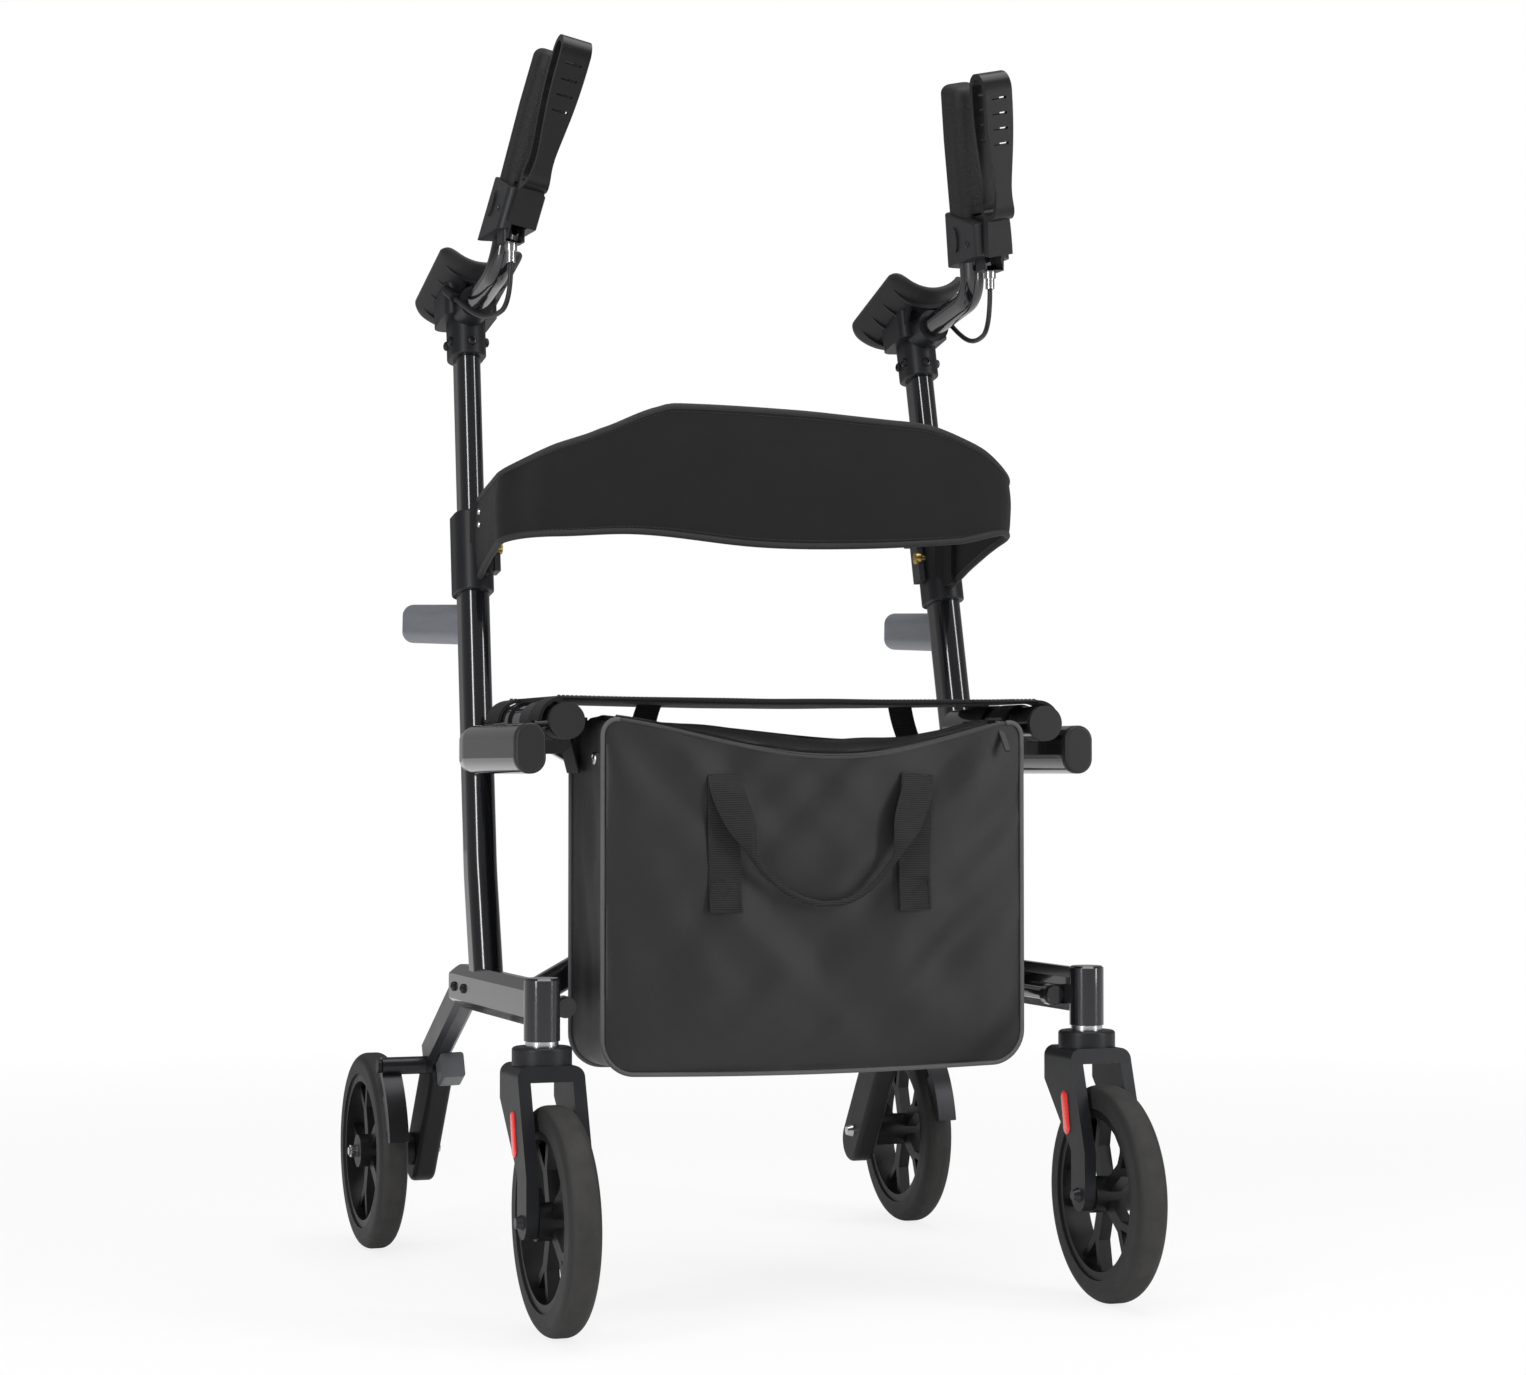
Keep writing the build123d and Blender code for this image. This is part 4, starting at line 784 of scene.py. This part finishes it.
def band_grid(way):
    """One face of the padded band; way is 1 for the outer face and -1 for the inner one."""
    grid = []
    for k, point in enumerate(plan):
        along = heading(plan, k)
        out = Vector((along.y, -along.x))
        low, high = band_levels(point)
        row = []
        for j in range(band_rows):
            share = eased(j, band_rows)
            puff = band_half * (0.35 + 0.65 * sqrt(max(1 - abs(share) ** 4, 0)))
            puff += 0.0006 * noise.noise(Vector((k * 0.12, share * 1.3, way)))
            place = point + out * (way * puff + 0.001 * cos(share * 2))
            row.append(Vector((place.x, place.y, (low + high) / 2 + (high - low) / 2 * share)))
        grid.append(row)
    return grid


def piping(path, radius, count=8):
    """A round cord along a line of points."""
    rings = []
    for k, point in enumerate(path):
        along = heading(path, k)
        first = along.cross(Vector((0, 1, 0)))
        if first.length < 0.3:
            first = along.cross(Vector((0, 0, 1)))
        first.normalize()
        second = along.cross(first).normalized()
        rings.append([point + first * radius * cos(tau * m / count)
                      + second * radius * sin(tau * m / count) for m in range(count)])
    return swept(rings)


outer_band, inner_band = band_grid(1), band_grid(-1)
backrest_piece = sewn("backrest_band", [sewn_shell(outer_band, inner_band)], band_cloth, 70)
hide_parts("backrest")
edge_paths = [[(row[k] + back[k]) / 2 for row, back in zip(outer_band, inner_band)]
              for k in (0, -1)]
band_piping = [piping(path, 0.0034) for path in edge_paths]
backrest_piping = sewn("backrest_piping", band_piping, binding, 70)
stitch_line = Recipe("stitch_line", {"Pitch": "Float", "Length": "Float", "Radius": "Float",
                                     "Material": "Material"})
line_curve = stitch_line.step("GeometryNodeMeshToCurve", Mesh=stitch_line.given["Geometry"])
line_points = stitch_line.step("GeometryNodeResampleCurve", {"mode": "LENGTH"}, Curve=line_curve[0],
                               Length=stitch_line.given["Pitch"])
stitch_shape = stitch_line.step("GeometryNodeMeshCylinder", Vertices=6,
                                Radius=stitch_line.given["Radius"],
                                Depth=stitch_line.given["Length"])
line_way = stitch_line.step("GeometryNodeInputTangent")
stitch_turn = stitch_line.step("FunctionNodeAlignRotationToVector", {"axis": "Z"},
                               Vector=line_way[0])
stitches_set = stitch_line.step("GeometryNodeInstanceOnPoints", Points=line_points[0],
                                Instance=stitch_shape[0], Rotation=stitch_turn[0])
stitch_line.end(stitches_set[0])
thread = woven("sewing_thread", (0.02, 0.02, 0.021), (0.035, 0.035, 0.036), 0.0006, 0.5)


def stitched(name, paths, pitch=0.0042, length=0.003, radius=0.0005, finish=thread):
    """A row of stitches, or of zip teeth, along lines of points."""
    points, edges = [], []
    for path in paths:
        base = len(points)
        points += [tuple(p) for p in path]
        edges += [(base + k, base + k + 1) for k in range(len(path) - 1)]
    mesh = bpy.data.meshes.new(name)
    mesh.from_pydata(points, edges, [])
    return stitch_line.run(name, mesh, {"Pitch": pitch, "Length": length, "Radius": radius,
                                        "Material": finish.material}, None)


seam_paths = []
for row_index in (2, -3):
    for grid in (outer_band, inner_band):
        seam_paths.append([row[row_index] for row in grid])
backrest_stitches = stitched("backrest_stitches", seam_paths)
rivet_spots = []
for way, at in ((1, plan[-7]), (-1, plan[6])):
    for height in (0.752, 0.7395):
        rivet_spots.append((Vector((at.x + way * 0.0032, at.y, height)), Vector((way, 0, 0))))
backrest_rivets = set_heads("backrest_rivets", rivet_head, rivet_spots, bright_steel, None)
tab_profile = ((0.2496, 0.030, 0.0035, 0.692, 0.764), (0.2485, 0.046, 0.0045, 0.69, 0.764),
               (0.2485, 0.0515, 0.010, 0.69, 0.762), (0.2485, 0.0525, 0.0115, 0.6915, 0.7605))
end_tabs = []
for way in (1, -1):
    rings = []
    for x, y, half, low, high in tab_profile:
        rings.append([Vector((way * x + a, y, z)) for a, z in ((-half, low), (half, low),
                                                               (half, high), (-half, high))])
    end_tabs.append(swept(rings))
backrest_tabs = sewn("backrest_end_tabs", end_tabs, band_cloth, 30)
for piece in (backrest_piece, backrest_piping, backrest_stitches, backrest_rivets, backrest_tabs):
    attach(piece, "backrest")
    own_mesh(piece)

# Seat: a sling of doubled, lightly padded fabric between the two seat tubes, with a rolled front.
# Its sides wrap over the tubes in four hems, which leave gaps for the bag's loops and the arms.
seat_cloth = woven("seat_cloth", (0.007, 0.007, 0.0075), (0.014, 0.014, 0.015), 0.0012, 0.66)
seat_top, seat_low = 0.5668, 0.5631
tube_x, tube_z, tube_r = 0.2386, 0.5435, 0.017
seat_front, seat_rear = -0.2026, -0.0126
hem_spans = (seat_front, -0.1666), (-0.0596, seat_rear)
seat_cols, seat_rows = 61, 25


def seat_grid(upper):
    """One face of the sling, slightly hollow in the middle and rolled at its front and rear."""
    grid = []
    for i in range(seat_rows):
        b = eased(i, seat_rows)
        row = []
        for j in range(seat_cols):
            a = 2 * j / (seat_cols - 1) - 1
            span = 1 - a * a
            sag = -0.004 * span * (1 - 0.5 * b * b)
            crinkle = 0.0007 * noise.noise(Vector((a * 3, b * 9, 2.0))) * span
            rim = abs(b) ** 10
            thick = 0.0019 + 0.0022 * rim * span
            fall = sqrt(max(1 - abs(b) ** 30, 0))
            middle = (seat_top + seat_low) / 2 + sag + crinkle
            y = (seat_front + seat_rear) / 2 + (seat_rear - seat_front) / 2 * b
            row.append(Vector((tube_x * a, y, middle + (thick if upper else -thick) * fall)))
        grid.append(row)
    return grid


def round_tube(way, angle, profile):
    """Points round a seat tube's axis at an angle, from a profile of a height over it and a y."""
    return [Vector((way * (tube_x + (tube_r + over) * cos(angle)), y,
                    tube_z + (tube_r + over) * sin(angle))) for over, y in profile]


def hem(way, low, high):
    """The part of the sling that wraps over one seat tube."""
    profile = ((0.0026, low), (0.0026, high), (0.0056, high - 0.0008), (0.0058, (low + high) / 2),
               (0.0056, low + 0.0008))
    return swept([round_tube(way, radians(92 - 90 * k / 12), profile) for k in range(13)])


seat_upper = seat_grid(True)
hems = [hem(way, *span) for way in (1, -1) for span in hem_spans]
sling_shells = [sewn_shell(seat_upper, seat_grid(False))] + hems
sling = sewn("seat_sling_cover", sling_shells, seat_cloth, 60)
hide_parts("seat_sling")
seat_seams = [[p + Vector((0, 0, 0.0004)) for p in seat_upper[k]] for k in (4, -5)]
for column in (3, -4):
    seat_seams.append([row[column] + Vector((0, 0, 0.0004)) for row in seat_upper[4:-4]])
sling_stitches = stitched("seat_stitches", seat_seams)


def crumples(piece):
    """Carries a piece on the left seat tube, with a mesh of its own."""
    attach(piece, "left_seat")
    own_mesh(piece)


for piece in (sling, sling_stitches):
    crumples(piece)

# Bag: a soft zipped tote of coated polyester, hung below the seat, with grey piping at its seams.
# Its top sags between the tubes, and drag folds run from the upper corners across the front.
bag_cloth = woven("bag_cloth", (0.003, 0.003, 0.0033), (0.009, 0.009, 0.0096), 0.0013, 0.46)
bag_cloth.shader.inputs["Specular IOR Level"].default_value = 0.5
pipe_grey = woven("grey_piping", (0.075, 0.075, 0.078), (0.12, 0.12, 0.123), 0.0009, 0.5)
bag_half, bag_low, bag_top = 0.2075, 0.2235, 0.5455
bag_front_y, bag_rear_y = -0.2276, -0.1256
foot_corner, top_corner = 0.030, 0.016
bag_cols, bag_rows, gusset_steps = 91, 71, 14


def fold_depth(x, z, seed):
    """Drag folds: long soft creases that run down from the upper corners."""
    right = noise.noise(Vector(((x + z) * 4.5, (x - z) * 21.0, seed)))
    left = noise.noise(Vector(((x - z) * 5.0, (x + z) * 18.0, seed + 7)))
    small = noise.noise(Vector((x * 24, z * 11, seed + 3)))
    share = min(max(0.5 + x * 2.4, 0), 1)
    return 0.0095 * (right * share + left * (1 - share)) + 0.0018 * small


def top_dip(x, depth, shift):
    """How far the top edge hangs below its corners."""
    share = min(max((x + bag_half) / (2 * bag_half), 0), 1)
    return depth * sin(pi * share ** shift) ** 1.3 if 0 < share < 1 else 0.0


def panel_fade(x, z):
    """1 in the middle of a panel and 0 at its sewn edges."""
    u = min(abs(x) / bag_half, 1)
    v = min(abs(2 * (z - bag_low) / (bag_top - bag_low) - 1), 1)
    return max((1 - u ** 6) * (1 - v ** 6), 0)


def panel_y(x, z):
    """The bag's front face at a place."""
    fade = panel_fade(x, z)
    belly = 0.011 * fade * (1 - 0.4 * (z - bag_low) / (bag_top - bag_low))
    return bag_front_y - belly - fold_depth(x, z, 1.5) * fade ** 0.5


def bag_grid(rear):
    """The front or the rear panel of the bag."""
    grid = []
    for i in range(bag_rows):
        share = (eased(i, bag_rows) + 1) / 2
        height = share * (bag_top - bag_low)
        half = (bag_half - corner_loss(height, foot_corner)
                - corner_loss(bag_top - bag_low - height, top_corner))
        row = []
        for j in range(bag_cols):
            x = half * (2 * j / (bag_cols - 1) - 1)
            dip = top_dip(x, *((0.0165, 1.9) if rear else (0.036, 1.12))) * share ** 3
            z = bag_low + height - dip - 0.004 * (1 - share) * cos(pi * x / bag_half / 2)
            y = panel_y(x, z)
            if rear:
                fade = panel_fade(x, z)
                y = bag_rear_y + 0.006 * fade + fold_depth(x, z, 9.5) * 0.6 * fade ** 0.5
            row.append(Vector((x, y, z)))
        grid.append(row)
    return grid


bag_front, bag_rear = bag_grid(False), bag_grid(True)
bag_border = border_of(bag_rows, bag_cols)
gusset = []
for step in range(1, gusset_steps):
    share = step / gusset_steps
    edge = []
    for i, j in bag_border:
        near, far = bag_front[i][j], bag_rear[i][j]
        place = near + (far - near) * share
        hump = sin(pi * share)
        inward = Vector((-place.x / bag_half, 0, 0)) if 0 < i < bag_rows - 1 else Vector((0, 0, 0))
        creased = noise.noise(Vector((place.z * 14, share * 4, place.x * 4)))
        lift = 0.0
        if i == bag_rows - 1:
            lift = 0.003 * hump - 0.0025 * noise.noise(Vector((place.x * 18, share * 3, 5)))
        edge.append(place + inward * (0.0035 * hump * (1 + creased)) + Vector((0, 0, lift)))
    gusset.append(edge)
bag_piece = sewn("bag_body", [sewn_shell(bag_front, bag_rear, gusset)], bag_cloth, 75)
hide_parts("bag")


def seam_round(grid, shift):
    """The seam down one side of a panel, along its foot and up the other side."""
    last = len(grid) - 1
    line = ([grid[i][0] for i in range(last, 0, -1)] + list(grid[0])
            + [grid[i][-1] for i in range(1, last + 1)])
    middle_z, half_z, proud = 0.385, 0.163, 0.0008
    return [p + Vector((p.x / bag_half, 0, (p.z - middle_z) / half_z)) * proud
            + Vector((0, shift, 0)) for p in line]


bag_seams = [piping(seam_round(bag_front, -0.0006), 0.0021),
             piping(seam_round(bag_rear, 0.0006), 0.0021)]
bag_piping = sewn("bag_piping", bag_seams, pipe_grey, 70)


def lid_line(back, lift, reach=0.93):
    """A line across the lid, at a distance behind its front edge."""
    share = back / (bag_rear_y - bag_front_y)
    rise = Vector((0, 0, lift + 0.003 * sin(pi * share)))
    return [near + (far - near) * share + rise for near, far in zip(bag_front[-1], bag_rear[-1])
            if abs(near.x) <= bag_half * reach]


def strap(path, half, thick, edge=0.0006):
    """A flat strap along a line of middles, with half its width as a vector."""
    rings = []
    half = Vector(half)
    inner = half - half.normalized() * edge
    for k, point in enumerate(path):
        face = heading(path, k).cross(half).normalized() * thick / 2
        rings.append([point - half, point - inner + face, point + inner + face, point + half,
                      point + inner - face, point - inner - face])
    return swept(rings)


zip_back = 0.011
zip_tapes = [strap(lid_line(zip_back + shift, 0.0012), (0, 0.0036, 0.0006), 0.0014)
             for shift in (-0.0045, 0.0045)]
zip_tapes.append(piping(lid_line(0.0004, 0.0006, 0.97), 0.0016))
zip_edge = woven("zip_edge_tape", (0.035, 0.035, 0.036), (0.06, 0.06, 0.062), 0.0009, 0.5)
bag_zip_tape = sewn("bag_zip_tape", zip_tapes, zip_edge, 40)
zip_black = moulded("zip_coil", (0.008, 0.008, 0.009), (0.015, 0.015, 0.016), 0.3)
bag_zip = stitched("bag_zip_coil", [lid_line(zip_back, 0.0018)], 0.0021, 0.0014, 0.0024, zip_black)
top_seams = [lid_line(0.0208, 0.0012), lid_line(0.0022, 0.0008)]
bag_top_stitches = stitched("bag_top_stitches", top_seams)
pull_root = lid_line(zip_back, 0.004)[-3]
slider = [pull_root + Vector((-0.006, 0, 0)), pull_root + Vector((0.008, 0, 0.0006))]
tail = [pull_root + Vector((0.004, -0.003 - 0.004 * k, -0.0005 - 0.0048 * k)) for k in range(7)]
pull_parts = [strap(slider, (0, 0.0042, 0), 0.0045, 0.0012), strap(tail, (0.0032, 0, 0), 0.0018)]
bag_zip_pull = finished("bag_zip_pull", *joined(pull_parts), black_steel, "steel", None, 30)

# Bag straps: polyester webbing, sewn flat on the front panel and folded over at the top.
# The free part hangs down in front and is rolled into a round carrying handle.
webbing = Finish("webbing", Sheen_Weight=0.1, Sheen_Roughness=0.4, Specular_IOR_Level=0.22)
web_y, web_z = webbing.axes()[1:]
rib_pitch = 0.0022
web_ribs = ((web_z + web_y * 0.4) * (tau / rib_pitch)).wave() * 0.5 + 0.5
web_dye = webbing.grain(50, 4)
web_tone = web_ribs * 0.6 + web_dye * 0.4
webbing.vary("Base Color", webbing.blend(web_tone, (0.004, 0.004, 0.0045), (0.026, 0.026, 0.027)))
webbing.vary("Roughness", web_dye * 0.12 + 0.56)
webbing.raise_by(web_ribs, 0.0004, 0.8)


def on_panel(x, z, lift):
    """A point in front of the bag's front panel."""
    return Vector((x, panel_y(x, z) - lift, z))


strap_low, strap_high, strap_half = 0.368, 0.494, 0.0160
box_low, box_high, box_half, box_lift = 0.3715, 0.398, 0.0135, 0.0028
strap_parts, box_lines = [], []
for foot_x, top_x in ((-0.0935, -0.0935), (0.0935, 0.0985)):
    heights = [strap_low + (strap_high - strap_low) * k / 14 for k in range(15)]
    line = [on_panel(foot_x + (top_x - foot_x) * (k / 14) ** 2, z, 0.0014)
            for k, z in enumerate(heights)]
    strap_parts.append(strap(line, (strap_half, 0, 0), 0.0022))
    corners = [(-1, box_low), (1, box_low), (1, box_high), (-1, box_high), (-1, box_low)]
    box = []
    for (a, low), (b, high) in zip(corners, corners[1:]):
        box += [on_panel(foot_x + box_half * (a + (b - a) * m / 8), low + (high - low) * m / 8,
                         box_lift) for m in range(8)]
    box_lines.append(box + [box[0]])
    box_lines.append([on_panel(foot_x + box_half * (2 * m / 10 - 1),
                               box_low + (box_high - box_low) * m / 10, box_lift)
                      for m in range(11)])
handle_line = (
    (-0.0935, 0.4945, 0.0160, 0.003), (-0.0925, 0.4800, 0.0160, 0.006),
    (-0.0870, 0.4640, 0.0155, 0.009), (-0.0805, 0.4480, 0.0135, 0.011),
    (-0.0745, 0.4330, 0.0085, 0.013), (-0.0680, 0.4180, 0.0036, 0.013),
    (-0.0560, 0.4030, 0.0032, 0.012), (-0.0350, 0.3865, 0.0030, 0.011),
    (-0.0130, 0.3770, 0.0030, 0.010), (0.0070, 0.3745, 0.0030, 0.010),
    (0.0290, 0.3790, 0.0030, 0.010), (0.0480, 0.3900, 0.0030, 0.011),
    (0.0630, 0.4060, 0.0032, 0.012), (0.0720, 0.4190, 0.0038, 0.013),
    (0.0775, 0.4330, 0.0090, 0.013), (0.0835, 0.4480, 0.0140, 0.011),
    (0.0900, 0.4640, 0.0155, 0.009), (0.0965, 0.4800, 0.0160, 0.006),
    (0.0985, 0.4945, 0.0160, 0.003),
)


def smooth_line(values, steps):
    """A line of number tuples with smooth steps between them."""
    result = []
    last = len(values) - 1
    for k in range(last):
        near_values = [values[min(max(k + m, 0), last)] for m in (-1, 0, 1, 2)]
        for step in range(steps):
            result.append(tuple(curved(*four, step / steps) for four in zip(*near_values)))
    return result + [values[-1]]


handle_rings = []
handle_values = smooth_line(handle_line, 6)
handle_middles = [on_panel(x, z, lift) for x, z, half, lift in handle_values]
for k, (x, z, half, lift) in enumerate(handle_values):
    along = heading(handle_middles, k)
    side_way = along.cross(Vector((0, -1, 0))).normalized()
    face = along.cross(side_way).normalized()
    roll = min(max((0.0150 - half) / 0.0105, 0), 1)
    thick = 0.0011 + 0.0018 * roll
    ring = []
    for m in range(12):
        across, over = cos(tau * m / 12), sin(tau * m / 12)
        ring.append(handle_middles[k] + side_way * half * across
                    + face * thick * (abs(over) ** (0.4 + 0.6 * roll)) * (1 if over >= 0 else -1))
    handle_rings.append(ring)
bag_handle = sewn("bag_handle", [swept(handle_rings)], webbing, 50)
bag_straps = sewn("bag_handle_patches", strap_parts, webbing, 40)
bag_box_stitches = stitched("bag_box_stitches", box_lines, 0.0034, 0.0024, 0.00045)
loop_profile = (0.0005, -0.1622), (0.0022, -0.1618), (0.0022, -0.1230), (0.0005, -0.1226)
loop_steps = 32
loop_y, loop_half = -0.1426, 0.0192
tail_in = 0.0178 * cos(radians(20))
loop_parts = []
for way in (1, -1):
    loop_rings = [round_tube(way, tau * k / loop_steps, loop_profile) for k in range(loop_steps)]
    loop_parts.append(swept(loop_rings, closed=True))
    tail = [Vector((way * (tube_x - tail_in - 0.0016 * k), loop_y, tube_z - 0.004 - 0.0062 * k))
            for k in range(8)]
    loop_parts.append(strap(tail, (0, loop_half, 0), 0.002))
bag_loops = sewn("bag_tube_loops", loop_parts, webbing, 40)
rear_parts = []
for x in (-0.128, 0.128):
    column = min(range(bag_cols), key=lambda j: abs(bag_rear[-1][j].x - x))
    foot = bag_rear[-8][column] + Vector((0, 0.0016, 0))
    top = Vector((x, -0.1175, 0.5618))
    line = [foot + (top - foot) * k / 8 + Vector((0, 0.003 * sin(pi * k / 8), 0)) for k in range(9)]
    rear_parts.append(strap(line, (0.0125, 0, 0), 0.0018))
bag_rear_straps = sewn("bag_rear_straps", rear_parts, webbing, 40)
snap_head = turned(((0.0058, -0.002), (0.006, 0.0004), (0.0052, 0.0014), (0.0036, 0.0017),
                    (0.003, 0.0012), (0.0016, 0.0016), (0.0003, 0.0018)))
snap_y, snap_z = -0.1972, 0.5095
snap_row = min(bag_front, key=lambda row: abs(row[0].z - snap_z))
snap_spots = [(Vector((edge.x - way * 0.0008, snap_y, snap_z)), Vector((way, 0, 0)))
              for way, edge in ((1, snap_row[-1]), (-1, snap_row[0]))]
bag_snaps = set_heads("bag_snaps", snap_head, snap_spots, bright_steel, None)
for piece in (bag_piece, bag_piping, bag_zip_tape, bag_zip, bag_top_stitches, bag_zip_pull,
              bag_handle, bag_straps, bag_box_stitches, bag_loops, bag_rear_straps, bag_snaps):
    crumples(piece)

# Studio: a plain pale floor and a white background, with soft lamps at a plain level.
# Two tall strip lamps give the tubes their long highlights, and a wide one above fills the top.
floor_mesh = bpy.data.meshes.new("floor")
floor_reach = 30
floor_mesh.from_pydata([(floor_reach * a, floor_reach * b, 0)
                        for a, b in ((-1, -1), (1, -1), (1, 1), (-1, 1))], [], [(0, 1, 2, 3)])
floor = added("floor", floor_mesh)
floor_finish = Finish("pale_floor", Base_Color=(0.9, 0.9, 0.9, 1), Roughness=0.9)
seen = floor_finish.node("LightPath")
seen_direct = Level(floor_finish.tree, seen.outputs["Is Camera Ray"])
seen_glossy = Level(floor_finish.tree, seen.outputs["Is Glossy Ray"])
seen_through = Level(floor_finish.tree, seen.outputs["Is Transmission Ray"])
glow = floor_finish.node("Emission", Color=(1, 1, 1, 1), Strength=1.0)
floor_mix = floor_finish.node("MixShader")
floor_x, floor_y = floor_finish.axes()[:2]
floor_far = ((floor_x * floor_x + floor_y * floor_y) ** 0.5).above(1.9, 1.6)
floor_finish.join((seen_direct + seen_through) * (floor_far * 0.17 + 0.83) + seen_glossy * 0.2,
                  floor_mix.inputs[0])
floor_finish.join(floor_finish.shader.outputs[0], floor_mix.inputs[1])
floor_finish.join(glow.outputs[0], floor_mix.inputs[2])
floor_finish.join(floor_mix.outputs[0], floor_finish.tree.nodes["Material Output"].inputs[0])
floor_mesh.materials.append(floor_finish.material)

world = bpy.data.worlds.new("studio")
bpy.context.scene.world = world
world.use_nodes = True
sky = world.node_tree
sky_light = sky.nodes["Background"]
sky_light.inputs[0].default_value = (1, 1, 1, 1)
sky_path = sky.nodes.new("ShaderNodeLightPath")
sky_white = (Level(sky, sky_path.outputs["Is Camera Ray"])
             + Level(sky, sky_path.outputs["Is Transmission Ray"])) * 0.55
sky_glossy = Level(sky, sky_path.outputs["Is Glossy Ray"]) * -0.22
sky.links.new((sky_white + sky_glossy + 0.45).socket, sky_light.inputs[1])


def soft_lamp(name, place, aim_at, size, power):
    """A soft box that faces a point."""
    lamp = bpy.data.lights.new(name, "AREA")
    lamp.shape = "RECTANGLE"
    lamp.size, lamp.size_y = size
    lamp.energy = power
    box = added(name, lamp)
    box.location = place
    box.rotation_euler = (Vector(aim_at) - Vector(place)).to_track_quat("-Z", "Y").to_euler()


soft_lamp("left_strip", (-2.3, -1.7, 1.3), (0, 0, 0.7), (0.4, 2.4), 40)
soft_lamp("right_strip", (1.9, -2.0, 1.3), (0, 0, 0.7), (0.4, 2.4), 30)
soft_lamp("top_box", (0.2, -0.4, 3.0), (0, 0, 0.5), (2.2, 1.8), 40)

# Camera: level with the seat, in front of the walker and to its right, as the picture was taken.
# It has a long lens, and the frame is a little off centre.
look = Vector((0.3418, 0.9394, 0.0277)).normalized()
look_right = look.cross(Vector((0, 0, 1))).normalized()
look_up = look_right.cross(look)
camera_data = bpy.data.cameras.new("camera")
camera_data.lens = 75.4
camera_data.sensor_width = 36
camera_data.shift_x = -0.0077
camera_data.shift_y = -0.0026
camera = added("camera", camera_data)
stand = Matrix((look_right, look_up, -look)).transposed().to_4x4()
stand.translation = Vector((-1.0541, -3.0100, 0.4968))
camera.matrix_world = stand
bpy.context.scene.camera = camera
bpy.context.scene.view_settings.view_transform = "Standard"
